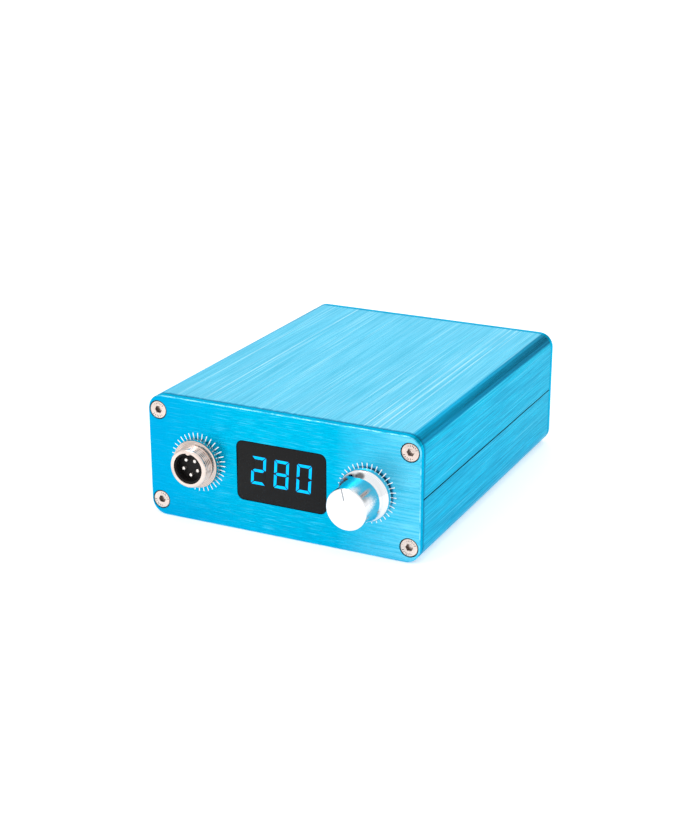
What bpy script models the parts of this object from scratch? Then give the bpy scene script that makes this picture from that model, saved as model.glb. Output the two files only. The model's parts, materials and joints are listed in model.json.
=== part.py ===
# Control box of a small PCB preheater. Two halves of an aluminium extrusion lap at mid-height between
# two flat panels. The front carries the heater socket, the display window and a knob that turns and
# pushes. The back carries the mains inlet and the rocker switch. The boards stand and slide inside.
# The origin is the middle of the case's underside: X to the right, Y to the back, Z up, in metres.

import math

import bpy
import bmesh
from mathutils import Vector

# Clearances
FIT = 0.0003
SLIM_FIT = 0.00015
RUNNING_FIT = 0.0001

# How far a cutter passes a face, and how far joined pieces reach into each other
PAST = 0.001
SUNK = 0.0002

# Case
CASE_WIDTH = 0.088
CASE_HEIGHT = 0.038
CASE_DEPTH = 0.110
CORNER_RADIUS = 0.0046
CORNER_STEPS = 7
WALL = 0.0016
PANEL_THICKNESS = 0.002
PANEL_EDGE = 0.00025
LIP = 0.0012
LIP_EDGE = 0.0003
LAP = 0.0018
RAIL_REACH = 0.002
RAIL_THICKNESS = 0.001
RAIL_GAP = 0.001
PORT_RADIUS = 0.0034
PORT_MOUTH = 0.0014
PORT_MOUTH_ANGLE = 150

# Countersunk screws
SCREW_INSET_X = 0.00334
SCREW_INSET_Z = 0.0047
SCREW_RADIUS = 0.00125
SCREW_LENGTH = 0.008
SCREW_HEAD_RADIUS = 0.0028
SCREW_HEAD_RIM = 0.0002
SCREW_HEAD_SUNK = 0.0001
SCREW_HEX = 0.002
SCREW_HEX_DEPTH = 0.0013

# Heater socket
SOCKET_INSET = 0.0167
SOCKET_RIM_REACH = 0.0063
SOCKET_BARREL_RADIUS = 0.0059
SOCKET_BORE_RADIUS = 0.00465
SOCKET_FLANGE_RADIUS = 0.0074
SOCKET_FLANGE_THICKNESS = 0.0015
SOCKET_EDGE = 0.0003
SOCKET_REAR_REACH = 0.0095
SOCKET_REAR_BORE_RADIUS = 0.0039
SOCKET_KEY_RADIUS = 0.0009
SOCKET_SEGMENTS = 32
INSERT_COLLAR = 0.0003
INSERT_SUNK = 0.0004
INSERT_FLOOR_DEPTH = 0.0026
PIN_CIRCLE_RADIUS = 0.0025
PIN_RADIUS = 0.00055
PIN_COUNT = 5
PIN_REACH = 0.0012
PIN_TIP_RADIUS = 0.00035
PIN_TIP_EDGE = 0.0001
PIN_CUP_RADIUS = 0.0009
PIN_CUP_LENGTH = 0.0032
LOCK_WASHER_RADIUS = 0.0074
LOCK_WASHER_THICKNESS = 0.0004
LOCK_WASHER_TEETH = 26
LOCK_WASHER_TOOTH = 0.0004
SOCKET_NUT_FLATS = 0.0145
SOCKET_NUT_THICKNESS = 0.0022

# Display
WINDOW_X = 0.00025
WINDOW_WIDTH = 0.029
WINDOW_HEIGHT = 0.0183
WINDOW_RADIUS = 0.002
WINDOW_THICKNESS = 0.0012
WINDOW_LEDGE = 0.0016
MODULE_WIDTH = 0.0225
MODULE_HEIGHT = 0.014
MODULE_DEPTH = 0.0072
MODULE_EDGE = 0.0004

# Knob and push encoder
KNOB_INSET = 0.0164
KNOB_LENGTH = 0.0129
KNOB_RADIUS = 0.0062
KNOB_SKIRT_REACH = 0.0017
KNOB_SKIRT_EDGE = 0.00035
KNOB_SKIRT_HEIGHT = 0.0018
KNOB_FLARE_HEIGHT = 0.0021
KNOB_LIFT = 0.0007
KNOB_EDGE = 0.0004
KNOB_NUT_GAP = 0.0005
KNOB_BORE_END = 0.0018
KNOB_SEGMENTS = 36
POINTER_ANGLE = 103
POINTER_WIDTH = 0.0005
POINTER_DEPTH = 0.0004
POINTER_INNER_RADIUS = 0.0027
SHAFT_RADIUS = 0.003
SHAFT_FLAT = 0.0015
SHAFT_REACH = 0.0102
SHAFT_EDGE = 0.0004
SHAFT_TAIL_STEP = 0.0008
SHAFT_TAIL_FLATS = 0.0032
PUSH_TRAVEL = 0.0005
GRUB_RADIUS = 0.0015
GRUB_LENGTH = 0.0038
GRUB_HEX = 0.0015
GRUB_HEX_DEPTH = 0.0013
BUSH_WALL = 0.0005
BUSH_REACH = 0.0027
BUSH_WASHER_RADIUS = 0.0056
BUSH_WASHER_THICKNESS = 0.00045
BUSH_NUT_FLATS = 0.010
BUSH_NUT_THICKNESS = 0.0018
ENCODER_WIDTH = 0.0124
ENCODER_HEIGHT = 0.0118
ENCODER_GAP = 0.00045
ENCODER_COVER = 0.0023
ENCODER_FLOOR = 0.001
ENCODER_WALL = 0.0007
ENCODER_LEG = 0.0008
ENCODER_LEG_PITCH = 0.0025
ENCODER_LEG_END = 0.0008
ROTOR_GAP = 0.0004
ROTOR_THICKNESS = 0.0014

# Boards
BOARD_THICKNESS = 0.0016
CONTROL_SOCKET_GAP = 0.0034
CONTROL_SIDE_GAP = 0.0059
CONTROL_MARGIN = 0.0019
CONTROL_CORNER = 0.001
POWER_REAR_GAP = 0.027

# Parts on the back of the control board, as width, depth and height
MAIN_CHIP = (0.010, 0.0018, 0.010)
MAIN_CHIP_X = 0.0
MAIN_CHIP_RISE = 0.0095
SENSOR_CHIP = (0.0066, 0.0022, 0.006)
SENSOR_CHIP_INSET = 0.0065
SENSOR_CHIP_RISE = 0.004
SMALL_CHIP = (0.005, 0.0016, 0.004)
SMALL_CHIP_X = 0.013
SMALL_CHIP_RISE = 0.0115
SMALL_CHIP_PITCH = 0.006
CONNECTOR = (0.006, 0.0045, 0.006)
CONNECTOR_INSET = 0.0045
CONNECTOR_RISE = 0.0145
HEADER = (0.022, 0.0026, 0.0026)
HEADER_X = 0.005

# Mains inlet and rocker switch share the back: the spare width goes to the left of the inlet, between
# the two and to the right of the switch in these shares
REAR_SHARES = (5, 8.5, 9.5)

# Mains inlet
INLET_WIDTH = 0.027
INLET_HEIGHT = 0.0198
INLET_CORNER = 0.005
INLET_FOOT_RADIUS = 0.001
INLET_DEPTH = 0.0165
INLET_FLOOR = 0.002
INLET_SIDE_WALL = 0.00125
INLET_TOP_WALL = 0.0014
INLET_FLANGE_LAP = 0.00135
INLET_FLANGE_THICKNESS = 0.0028
INLET_SHOULDER_LAP = 0.001
INLET_END_RADIUS = 0.005
INLET_SCREW_SPACING = 0.040
BLADE_SPREAD = 0.007
BLADE_RISE = 0.002
BLADE_WIDTH = 0.002
BLADE_HEIGHT = 0.004
BLADE_TIP_WIDTH = 0.001
BLADE_TIP_HEIGHT = 0.0028
BLADE_SUNK = 0.003
TAB_HEIGHT = 0.0063
TAB_THICKNESS = 0.0008
TAB_LENGTH = 0.008

# Rocker switch
SWITCH_BEZEL_LAP = 0.0011
SWITCH_BEZEL_RADIUS = 0.001
SWITCH_BEZEL_THICKNESS = 0.002
SWITCH_WIDTH = 0.0128
SWITCH_HEIGHT = 0.0188
SWITCH_DEPTH = 0.0125
SWITCH_FLOOR = 0.0014
SWITCH_SIDE_WALL = 0.0012
SWITCH_END_WALL = 0.0011
ROCKER_CREST = 0.0039
ROCKER_TILT = 9
ROCKER_SUNK = 0.0035
ROCKER_HUB = 0.003
ROCKER_PIN_RADIUS = 0.001
ROCKER_PIN_REACH = 0.0009
SWITCH_TAB_HEIGHT = 0.0048
SWITCH_TAB_SPREAD = 0.0042

# Parts on the power board. Plain parts are given as width, depth and height. Each row of parts runs
# from the board's front edge to its back edge, and the spare length between them goes in these shares.
BLOCK_DEPTH = 0.008
BLOCK_HEIGHT = 0.009
BLOCK_PITCH = 0.005
BLOCK_MARGIN = 0.0016
BLOCK_HOLE_RADIUS = 0.0013
BLOCK_HOLE_HEIGHT = 0.0032
BLOCK_HOLE_DEPTH = 0.005
BLOCK_SCREW_DEPTH = 0.0015
HEATER_BLOCK_OFFSET = 0.0017
LEFT_ROW_SHARES = (11.5, 7.5, 3.4, 2.9, 5.5)
FUSE_ROW_SHARES = (14.1, 20.7, 1.5)
COIL_ROW_SHARES = (9, 6, 6, 17)
SINK_ROW_SHARES = (13.5, 12.5, 15)
FILTER_CAPACITOR = (0.013, 0.006, 0.011)
INDUCTOR = (0.006, 0.006, 0.0035)
INDUCTOR_X = 0.006
RECTIFIER = (0.004, 0.009, 0.004)
RECTIFIER_X = 0.020
COUPLER = (0.0065, 0.0045, 0.004)
COUPLER_OFFSET = 0.0115
CORE_WIDTH = 0.026
CORE_HEADROOM = 0.0044
CORE_DEPTH = 0.007
CORE_LEG = 0.007
CORE_YOKE = 0.0035
CORE_GAP = 0.0005
COIL_DEPTH = 0.018
COIL_FLANGE = 0.0009
CAN_GROOVE = 0.0005
CAN_GROOVE_HEIGHT = 0.0022
CAN_RIM = 0.0012
CAN_RIM_DEPTH = 0.0003
BULK_CAPACITOR_RADIUS = 0.0078
BULK_CAPACITOR_HEADROOM = 0.0044
BULK_CAPACITOR_INSET = 0.0281
OUTPUT_CAPACITOR_RADIUS = 0.005
OUTPUT_CAPACITOR_HEADROOM = 0.0099
OUTPUT_CAPACITOR_X = 0.012
CHOKE_RADIUS = 0.0062
CHOKE_SECTION_RADIUS = 0.0025
CHOKE_WINDING = 0.0006
CHOKE_TURN = 0.0003
SINK_LENGTH = 0.022
SINK_HEADROOM = 0.0074
SINK_MARGIN = 0.0006
SINK_BASE = 0.002
SINK_FIN_REACH = 0.0075
SINK_FIN_THICKNESS = 0.0012
SINK_FINS = 6
TRANSISTOR_THICKNESS = 0.0045
TRANSISTOR_WIDTH = 0.010
TRANSISTOR_HEIGHT = 0.0095
TRANSISTOR_LIFT = 0.00225
TRANSISTOR_TAB_THICKNESS = 0.0013
TRANSISTOR_TAB_HEIGHT = 0.0058
TRANSISTOR_SCREW_RADIUS = 0.0026
TRANSISTOR_SCREW_REACH = 0.0015
TRANSISTOR_LEG = 0.0009
TRANSISTOR_LEG_THICKNESS = 0.0006
TRANSISTOR_LEG_PITCH = 0.00254
FUSE_RADIUS = 0.0026
FUSE_LENGTH = 0.020
FUSE_CAP = 0.005
FUSE_CAP_STEP = 0.0003
FUSE_LIFT = 0.001
FUSE_GAP = 0.0003
CLIP_WALL = 0.0011
CLIP_LENGTH = 0.003

# Inner leads
LEAD_RADIUS = 0.0009
SENSOR_LEAD_RADIUS = 0.0012


def spread(start, end, lengths, shares):
    """Middles of pieces in a row between two ends, with the spare length divided in the given shares."""
    unit = (end - start - sum(lengths)) / sum(shares)
    middles = []
    place = start
    for length, share in zip(lengths, shares):
        place += share * unit
        middles.append(place + length / 2)
        place += length
    return middles


# Places worked out from the sizes above
FRONT = -CASE_DEPTH / 2
BACK = CASE_DEPTH / 2
INNER_X = CASE_WIDTH / 2 - WALL
ROOF = CASE_HEIGHT / 2 - WALL
LANE = INNER_X - RAIL_REACH - FIT
SCREW_HOLE_RADIUS = SCREW_RADIUS + FIT
SCREW_SINK_RADIUS = SCREW_HEAD_RADIUS + SLIM_FIT
SCREW_X = CASE_WIDTH / 2 - SCREW_INSET_X
SCREW_Z = CASE_HEIGHT / 2 - SCREW_INSET_Z
PORT_TOP = math.sqrt(PORT_RADIUS ** 2 - (INNER_X - SCREW_X) ** 2) - SCREW_Z
BOARD_UNDERSIDE = PORT_TOP + RAIL_GAP + RAIL_THICKNESS + FIT
BOARD_TOP = BOARD_UNDERSIDE + BOARD_THICKNESS
HEADROOM = ROOF - BOARD_TOP
SOCKET_X = SOCKET_INSET - CASE_WIDTH / 2
SOCKET_RIM_Y = FRONT - SOCKET_RIM_REACH
SOCKET_FLANGE_BACK = FRONT - LOCK_WASHER_THICKNESS - 2 * SLIM_FIT
SOCKET_FLANGE_FRONT = SOCKET_FLANGE_BACK - SOCKET_FLANGE_THICKNESS
SOCKET_BACK = FRONT + SOCKET_REAR_REACH
INSERT_FLOOR_Y = SOCKET_RIM_Y + INSERT_FLOOR_DEPTH
PIN_BACK = SOCKET_BACK + 2 * FIT + PIN_CUP_LENGTH
MODULE_FRONT = FRONT + WINDOW_THICKNESS + SLIM_FIT + FIT
CONTROL_FRONT = MODULE_FRONT + MODULE_DEPTH + FIT
CONTROL_BACK = CONTROL_FRONT + BOARD_THICKNESS
CONTROL_LEFT = SOCKET_X + SOCKET_BARREL_RADIUS + CONTROL_SOCKET_GAP
CONTROL_RIGHT = INNER_X - CONTROL_SIDE_GAP
CONTROL_HEIGHT = 2 * (ROOF - CONTROL_MARGIN)
POWER_FRONT = CONTROL_BACK + FIT
POWER_BACK = BACK - POWER_REAR_GAP
KNOB_X = CASE_WIDTH / 2 - KNOB_INSET
KNOB_BACK = FRONT - KNOB_LIFT
KNOB_SKIRT_RADIUS = KNOB_RADIUS + KNOB_SKIRT_REACH
KNOB_FLARE_RADIUS = KNOB_SKIRT_RADIUS - KNOB_SKIRT_EDGE
KNOB_CAVITY_RADIUS = BUSH_NUT_FLATS / math.sqrt(3) + KNOB_NUT_GAP
BUSH_RADIUS = SHAFT_RADIUS + BUSH_WALL
SHAFT_TAIL_RADIUS = SHAFT_RADIUS - SHAFT_TAIL_STEP
ENCODER_FRONT = FRONT + PANEL_THICKNESS + ENCODER_GAP
ENCODER_BACK = CONTROL_FRONT - FIT
ENCODER_CAVITY_RADIUS = min(ENCODER_WIDTH, ENCODER_HEIGHT) / 2 - ENCODER_WALL
COVER_BACK = ENCODER_FRONT + ENCODER_COVER
BUSH_FRONT = FRONT - BUSH_REACH
SHAFT_FRONT = FRONT - SHAFT_REACH
SHAFT_SHOULDER = COVER_BACK - FIT
SHAFT_END = ENCODER_BACK - ENCODER_FLOOR - PUSH_TRAVEL - RUNNING_FIT
ROTOR_FRONT = SHAFT_SHOULDER + PUSH_TRAVEL + 2 * RUNNING_FIT
INLET_FLANGE_WIDTH = INLET_SCREW_SPACING + 2 * INLET_END_RADIUS
INLET_FACE = BACK + SLIM_FIT + INLET_FLANGE_THICKNESS
INLET_BACK = BACK - INLET_DEPTH
INLET_FLOOR_TOP = INLET_BACK + INLET_FLOOR
SWITCH_BEZEL_WIDTH = SWITCH_WIDTH + 2 * SWITCH_BEZEL_LAP
SWITCH_BEZEL_HEIGHT = SWITCH_HEIGHT + 2 * SWITCH_BEZEL_LAP
SWITCH_FACE = BACK + SLIM_FIT + SWITCH_BEZEL_THICKNESS
SWITCH_BACK = BACK - SWITCH_DEPTH
ROCKER_WIDTH = SWITCH_WIDTH - 2 * SWITCH_SIDE_WALL - 2 * FIT
ROCKER_RADIUS = SWITCH_HEIGHT / 2 - SWITCH_END_WALL - FIT
ROCKER_PIVOT_Y = SWITCH_FACE - ROCKER_SUNK
REAR_WIDTHS = (INLET_FLANGE_WIDTH, SWITCH_BEZEL_WIDTH)
INLET_X, SWITCH_X = spread(-CASE_WIDTH / 2, CASE_WIDTH / 2, REAR_WIDTHS, REAR_SHARES)

# Places on the power board
CHOKE_OUTER = CHOKE_RADIUS + CHOKE_SECTION_RADIUS + CHOKE_WINDING + CHOKE_TURN
MAINS_BLOCK_X = BLOCK_MARGIN + 1.5 * BLOCK_PITCH - LANE
HEATER_BLOCK_X = SOCKET_X - HEATER_BLOCK_OFFSET
FILTER_X = FILTER_CAPACITOR[0] / 2 - LANE
CHOKE_X = CHOKE_OUTER - LANE
FUSE_X = CHOKE_X + CHOKE_OUTER + FUSE_GAP + CLIP_WALL + FUSE_RADIUS
COUPLER_X = FUSE_X + COUPLER_OFFSET
BULK_CAPACITOR_X = BULK_CAPACITOR_INSET - LANE
SINK_X = LANE - SINK_MARGIN - SINK_BASE - SINK_FIN_REACH
COIL_X = SINK_X - SLIM_FIT - TRANSISTOR_THICKNESS - CORE_GAP - CORE_WIDTH / 2
LEFT_ROW = (BLOCK_DEPTH, FILTER_CAPACITOR[1], 2 * CHOKE_OUTER, BLOCK_DEPTH)
FUSE_ROW = (2 * BULK_CAPACITOR_RADIUS, FUSE_LENGTH)
COIL_ROW = (INDUCTOR[1], 2 * OUTPUT_CAPACITOR_RADIUS, COIL_DEPTH)
SINK_ROW = (RECTIFIER[1], SINK_LENGTH)
HEATER_BLOCK_Y, FILTER_Y, CHOKE_Y, MAINS_BLOCK_Y = spread(POWER_FRONT, POWER_BACK, LEFT_ROW, LEFT_ROW_SHARES)
BULK_CAPACITOR_Y, FUSE_Y = spread(POWER_FRONT, POWER_BACK, FUSE_ROW, FUSE_ROW_SHARES)
INDUCTOR_Y, OUTPUT_CAPACITOR_Y, COIL_Y = spread(POWER_FRONT, POWER_BACK, COIL_ROW, COIL_ROW_SHARES)
RECTIFIER_Y, SINK_Y = spread(POWER_FRONT, POWER_BACK, SINK_ROW, SINK_ROW_SHARES)
FUSE_Z = BOARD_TOP + FUSE_RADIUS + FIT + FUSE_LIFT

for item in list(bpy.data.objects):
    bpy.data.objects.remove(item, do_unlink=True)

# Every piece hangs on one empty at the middle of the case, so local heights are from mid-height.
case_centre = bpy.data.objects.new("case_centre", None)
case_centre.location = (0, 0, CASE_HEIGHT / 2)
bpy.context.scene.collection.objects.link(case_centre)


def finish(name, colour, roughness, metallic):
    material = bpy.data.materials.new(name)
    material.use_nodes = True
    shader = material.node_tree.nodes["Principled BSDF"]
    shader.inputs["Base Color"].default_value = (*colour, 1)
    shader.inputs["Roughness"].default_value = roughness
    shader.inputs["Metallic"].default_value = metallic
    return material


BLUE_SHELL = finish("blue_anodised_shell", (0.03, 0.45, 0.70), 0.35, 0.6)
BLUE_PANEL = finish("blue_anodised_panel", (0.0, 0.42, 0.82), 0.35, 0.6)
NICKEL = finish("bright_nickel", (0.80, 0.79, 0.77), 0.16, 1.0)
STEEL = finish("zinc_steel", (0.62, 0.62, 0.63), 0.3, 1.0)
DARK_STEEL = finish("dark_steel", (0.10, 0.10, 0.11), 0.4, 0.9)
POLISHED = finish("polished_aluminium", (0.88, 0.90, 0.92), 0.1, 1.0)
BRASS = finish("tinned_brass", (0.80, 0.74, 0.60), 0.25, 1.0)
BLACK = finish("black_plastic", (0.02, 0.02, 0.022), 0.45, 0.0)
WINDOW = finish("dark_window", (0.012, 0.012, 0.014), 0.08, 0.0)
EPOXY = finish("white_epoxy", (0.75, 0.75, 0.72), 0.5, 0.0)
GREEN_BOARD = finish("green_board", (0.01, 0.14, 0.06), 0.4, 0.0)
FERRITE = finish("grey_ferrite", (0.05, 0.05, 0.055), 0.6, 0.0)
TAPE = finish("yellow_tape", (0.80, 0.58, 0.05), 0.45, 0.0)
SLEEVE = finish("dark_sleeve", (0.02, 0.025, 0.05), 0.35, 0.0)
COPPER = finish("enamelled_copper", (0.60, 0.22, 0.07), 0.3, 0.8)
BARE = finish("bare_aluminium", (0.75, 0.76, 0.77), 0.35, 1.0)
GLASS = finish("fuse_glass", (0.75, 0.82, 0.80), 0.1, 0.0)
BROWN = finish("brown_lead", (0.20, 0.07, 0.03), 0.5, 0.0)
BLUE_LEAD = finish("blue_lead", (0.03, 0.12, 0.55), 0.5, 0.0)
GREEN_LEAD = finish("green_lead", (0.10, 0.45, 0.08), 0.5, 0.0)
RED = finish("red_lead", (0.60, 0.03, 0.02), 0.5, 0.0)
GREY = finish("grey_lead", (0.35, 0.35, 0.36), 0.5, 0.0)


# Shapes

def along(axis, a, b, c):
    """A point with a and b in the outline's plane and c along the axis."""
    if axis == "X":
        return (c, a, b)
    if axis == "Y":
        return (a, c, b)
    return (a, b, c)


def arc(centre, radius, start, end, steps):
    """Points on an arc between two angles in degrees, both ends included."""
    points = []
    for i in range(steps + 1):
        angle = math.radians(start + (end - start) * i / steps)
        points.append((centre[0] + radius * math.cos(angle), centre[1] + radius * math.sin(angle)))
    return points


def circle(radius, segments, centre=(0, 0)):
    return arc(centre, radius, 0, 360 - 360 / segments, segments - 1)


def hexagon(flats):
    return circle(flats / math.sqrt(3), 6)


def rectangle(width, height, centre=(0, 0)):
    x, y = width / 2, height / 2
    return [(centre[0] + a, centre[1] + b) for a, b in ((x, -y), (x, y), (-x, y), (-x, -y))]


def rounded_rectangle(width, height, radius, steps=6, centre=(0, 0)):
    x, y = width / 2 - radius, height / 2 - radius
    points = []
    for quarter, (a, b) in enumerate(((x, y), (-x, y), (-x, -y), (x, -y))):
        corner = (centre[0] + a, centre[1] + b)
        points += arc(corner, radius, 90 * quarter, 90 * quarter + 90, steps)
    return points


def add(name, mesh_source, material, at):
    """Makes a named object of a bmesh, with its origin at the given place."""
    bmesh.ops.recalc_face_normals(mesh_source, faces=mesh_source.faces)
    mesh = bpy.data.meshes.new(name)
    mesh_source.to_mesh(mesh)
    mesh_source.free()
    mesh.materials.append(material)
    piece = bpy.data.objects.new(name, mesh)
    piece.parent = case_centre
    piece.location = at
    bpy.context.scene.collection.objects.link(piece)
    shade(piece)
    return piece


def shade(piece):
    piece.data.shade_smooth()
    piece.data.set_sharp_from_angle(angle=math.radians(32))


def loft(name, sections, material, axis="Y", at=(0, 0, 0)):
    """A closed solid through outlines of as many points each, given with their places along the axis."""
    shape = bmesh.new()
    rings = []
    for place, outline in sections:
        rings.append([shape.verts.new(along(axis, a, b, place)) for a, b in outline])
    count = len(rings[0])
    for near, far in zip(rings, rings[1:]):
        for i in range(count):
            j = (i + 1) % count
            shape.faces.new((near[i], near[j], far[j], far[i]))
    shape.faces.new(rings[0])
    shape.faces.new(rings[-1])
    return add(name, shape, material, at)


def prism(name, outline, low, high, material, axis="Y", at=(0, 0, 0)):
    return loft(name, [(low, outline), (high, outline)], material, axis, at)


def box(name, size, middle, material, at=(0, 0, 0)):
    outline = rectangle(size[0], size[1], (middle[0], middle[1]))
    return prism(name, outline, middle[2] - size[2] / 2, middle[2] + size[2] / 2, material, "Z", at)


def lathe(name, profile, material, at=(0, 0, 0), segments=24, axis="Y"):
    """Turns a profile of (radius, place along the axis). It starts and ends on the axis, or it closes
    on itself and leaves a hole."""
    shape = bmesh.new()
    rings = []
    for radius, place in profile:
        if radius > 0:
            rings.append([shape.verts.new(along(axis, a, b, place)) for a, b in circle(radius, segments)])
    pairs = list(zip(rings, rings[1:]))
    if profile[0][0] == 0:
        shape.faces.new(rings[0])
        shape.faces.new(rings[-1])
    else:
        pairs.append((rings[-1], rings[0]))
    for near, far in pairs:
        for i in range(segments):
            j = (i + 1) % segments
            shape.faces.new((near[i], near[j], far[j], far[i]))
    return add(name, shape, material, at)


def rod(radius, low, high, material, at, segments=12, axis="Y"):
    return prism("tool", circle(radius, segments), low, high, material, axis, at)


def combine(piece, tool, operation):
    """Applies a Boolean to the piece and removes the tool."""
    change = piece.modifiers.new(operation.title(), "BOOLEAN")
    change.object = tool
    change.operation = operation
    change.solver = "EXACT"
    view = bpy.context.evaluated_depsgraph_get()
    mesh = bpy.data.meshes.new_from_object(piece.evaluated_get(view))
    piece.modifiers.clear()
    mesh.name = piece.name
    piece.data = mesh
    bpy.data.objects.remove(tool, do_unlink=True)
    shade(piece)


def cut(piece, tool):
    combine(piece, tool, "DIFFERENCE")


def join(piece, tool):
    combine(piece, tool, "UNION")


def soften(piece, width, segments=1):
    """Rounds a piece's edges with a Bevel that stays on the object."""
    bevel = piece.modifiers.new("Edges", "BEVEL")
    bevel.width = width
    bevel.segments = segments
    bevel.limit_method = "ANGLE"
    bevel.angle_limit = math.radians(40)


def smooth_route(points, steps=3):
    """A curve through the given points, read at even parameter steps."""
    ends = [2 * points[0] - points[1], *points, 2 * points[-1] - points[-2]]
    route = []
    for a, b, c, d in zip(ends, ends[1:], ends[2:], ends[3:]):
        for i in range(steps):
            t = i / steps
            route.append(0.5 * (2 * b + (c - a) * t + (2 * a - 5 * b + 4 * c - d) * t * t
                                + (3 * b - a - 3 * c + d) * t ** 3))
    route.append(points[-1])
    return route


def lead(name, points, radius, material):
    """An insulated wire as a tube along a smooth route."""
    route = smooth_route([Vector(point) for point in points])
    curve = bpy.data.curves.new(name, "CURVE")
    curve.dimensions = "3D"
    curve.bevel_depth = radius
    curve.bevel_resolution = 2
    curve.use_fill_caps = True
    spline = curve.splines.new("POLY")
    spline.points.add(len(route) - 1)
    for point, place in zip(spline.points, route):
        point.co = (*place, 1)
    curve.materials.append(material)
    piece = bpy.data.objects.new(name, curve)
    piece.parent = case_centre
    bpy.context.scene.collection.objects.link(piece)


# Case shells

def shell_side():
    """Inner face of the right wall from the board rails down round the screw port to the floor."""
    rail_x = INNER_X - RAIL_REACH
    points = []
    for top in (BOARD_TOP + FIT + RAIL_THICKNESS, BOARD_UNDERSIDE - FIT):
        bottom = top - RAIL_THICKNESS
        points += [(INNER_X, top), (rail_x, top), (rail_x, bottom), (INNER_X, bottom)]
    port = (SCREW_X, -SCREW_Z)
    start = math.degrees(math.acos((INNER_X - SCREW_X) / PORT_RADIUS))
    end = 180 + math.degrees(math.asin((ROOF - SCREW_Z) / PORT_RADIUS))
    outer_half = math.degrees(math.asin(PORT_MOUTH / 2 / PORT_RADIUS))
    bore_half = math.degrees(math.asin(PORT_MOUTH / 2 / SCREW_HOLE_RADIUS))
    points += arc(port, PORT_RADIUS, start, PORT_MOUTH_ANGLE - outer_half, 6)
    bore_start = PORT_MOUTH_ANGLE - bore_half
    points += arc(port, SCREW_HOLE_RADIUS, bore_start, bore_start + 2 * bore_half - 360, 14)
    points += arc(port, PORT_RADIUS, PORT_MOUTH_ANGLE + outer_half, end, 6)
    return points


def shell_profile():
    """Section of the lower half. Its left edge carries the inner lip of the lap and its right edge the
    outer lip, so the upper half is the same section turned half a turn."""
    x, z = CASE_WIDTH / 2, CASE_HEIGHT / 2
    edge = -FIT / 2
    lip_outer = x - LIP - FIT
    lip_inner = lip_outer - LIP
    outer_lip_x = x - LIP
    points = [(x, edge)]
    points += arc((x - CORNER_RADIUS, CORNER_RADIUS - z), CORNER_RADIUS, 0, -90, CORNER_STEPS)
    points += arc((CORNER_RADIUS - x, CORNER_RADIUS - z), CORNER_RADIUS, -90, -180, CORNER_STEPS)
    points += [(-x, edge), (-lip_outer, edge), (-lip_outer, LAP - LIP_EDGE), (-lip_outer + LIP_EDGE, LAP)]
    points += [(-lip_inner - LIP_EDGE, LAP), (-lip_inner, LAP - LIP_EDGE), (-lip_inner, -LAP)]
    points += [(-INNER_X, -LAP - INNER_X + lip_inner)]
    side = shell_side()
    points += [(-a, b) for a, b in side]
    points += list(reversed(side))
    rebate_z = -LAP - FIT
    points += [(INNER_X, rebate_z - outer_lip_x + INNER_X), (outer_lip_x, rebate_z), (outer_lip_x, edge)]
    return points


def build_shells():
    reach = CASE_DEPTH / 2 - PANEL_THICKNESS - SLIM_FIT
    lower = shell_profile()
    upper = [(-a, -b) for a, b in lower]
    prism("lower_shell", lower, -reach, reach, BLUE_SHELL)
    prism("upper_shell", upper, -reach, reach, BLUE_SHELL)


# Screws

def countersink(at, direction):
    """Cutter for a screw hole, with the screw's place on the face and the direction into the panel."""
    rim = SCREW_HEAD_SUNK + SCREW_HEAD_RIM
    cone_end = rim + SCREW_SINK_RADIUS - SCREW_HOLE_RADIUS
    profile = [(0, -PAST), (SCREW_SINK_RADIUS, -PAST), (SCREW_SINK_RADIUS, rim)]
    profile += [(SCREW_HOLE_RADIUS, cone_end), (SCREW_HOLE_RADIUS, SCREW_LENGTH), (0, SCREW_LENGTH)]
    return lathe("tool", [(r, direction * y) for r, y in profile], STEEL, at, 20)


def screw_mesh():
    """A countersunk screw with a hex socket, head at the origin and shank along Y."""
    rim = SCREW_HEAD_SUNK + SCREW_HEAD_RIM
    cone_end = rim + SCREW_HEAD_RADIUS - SCREW_RADIUS
    profile = [(0, SCREW_HEAD_SUNK), (SCREW_HEAD_RADIUS, SCREW_HEAD_SUNK), (SCREW_HEAD_RADIUS, rim)]
    profile += [(SCREW_RADIUS, cone_end), (SCREW_RADIUS, SCREW_LENGTH - FIT)]
    profile += [(SCREW_RADIUS - FIT, SCREW_LENGTH), (0, SCREW_LENGTH)]
    screw = lathe("screw", profile, DARK_STEEL, segments=18)
    cut(screw, prism("tool", hexagon(SCREW_HEX), -PAST, SCREW_HEAD_SUNK + SCREW_HEX_DEPTH, STEEL))
    mesh = screw.data
    bpy.data.objects.remove(screw, do_unlink=True)
    return mesh


def place_screw(name, mesh, at, turn):
    screw = bpy.data.objects.new(name, mesh)
    screw.parent = case_centre
    screw.location = at
    screw.rotation_euler = (0, 0, turn)
    bpy.context.scene.collection.objects.link(screw)


def corners():
    return [(SCREW_X, SCREW_Z), (-SCREW_X, SCREW_Z), (-SCREW_X, -SCREW_Z), (SCREW_X, -SCREW_Z)]


def build_screws():
    mesh = screw_mesh()
    for number, (x, z) in enumerate(corners(), 1):
        place_screw(f"front_screw_{number}", mesh, (x, FRONT, z), 0)
        place_screw(f"rear_screw_{number}", mesh, (x, BACK, z), math.pi)
    for number, side in enumerate((-1, 1), 1):
        x = INLET_X + side * INLET_SCREW_SPACING / 2
        place_screw(f"inlet_screw_{number}", mesh, (x, INLET_FACE, 0), math.pi)


# Panels

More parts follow.
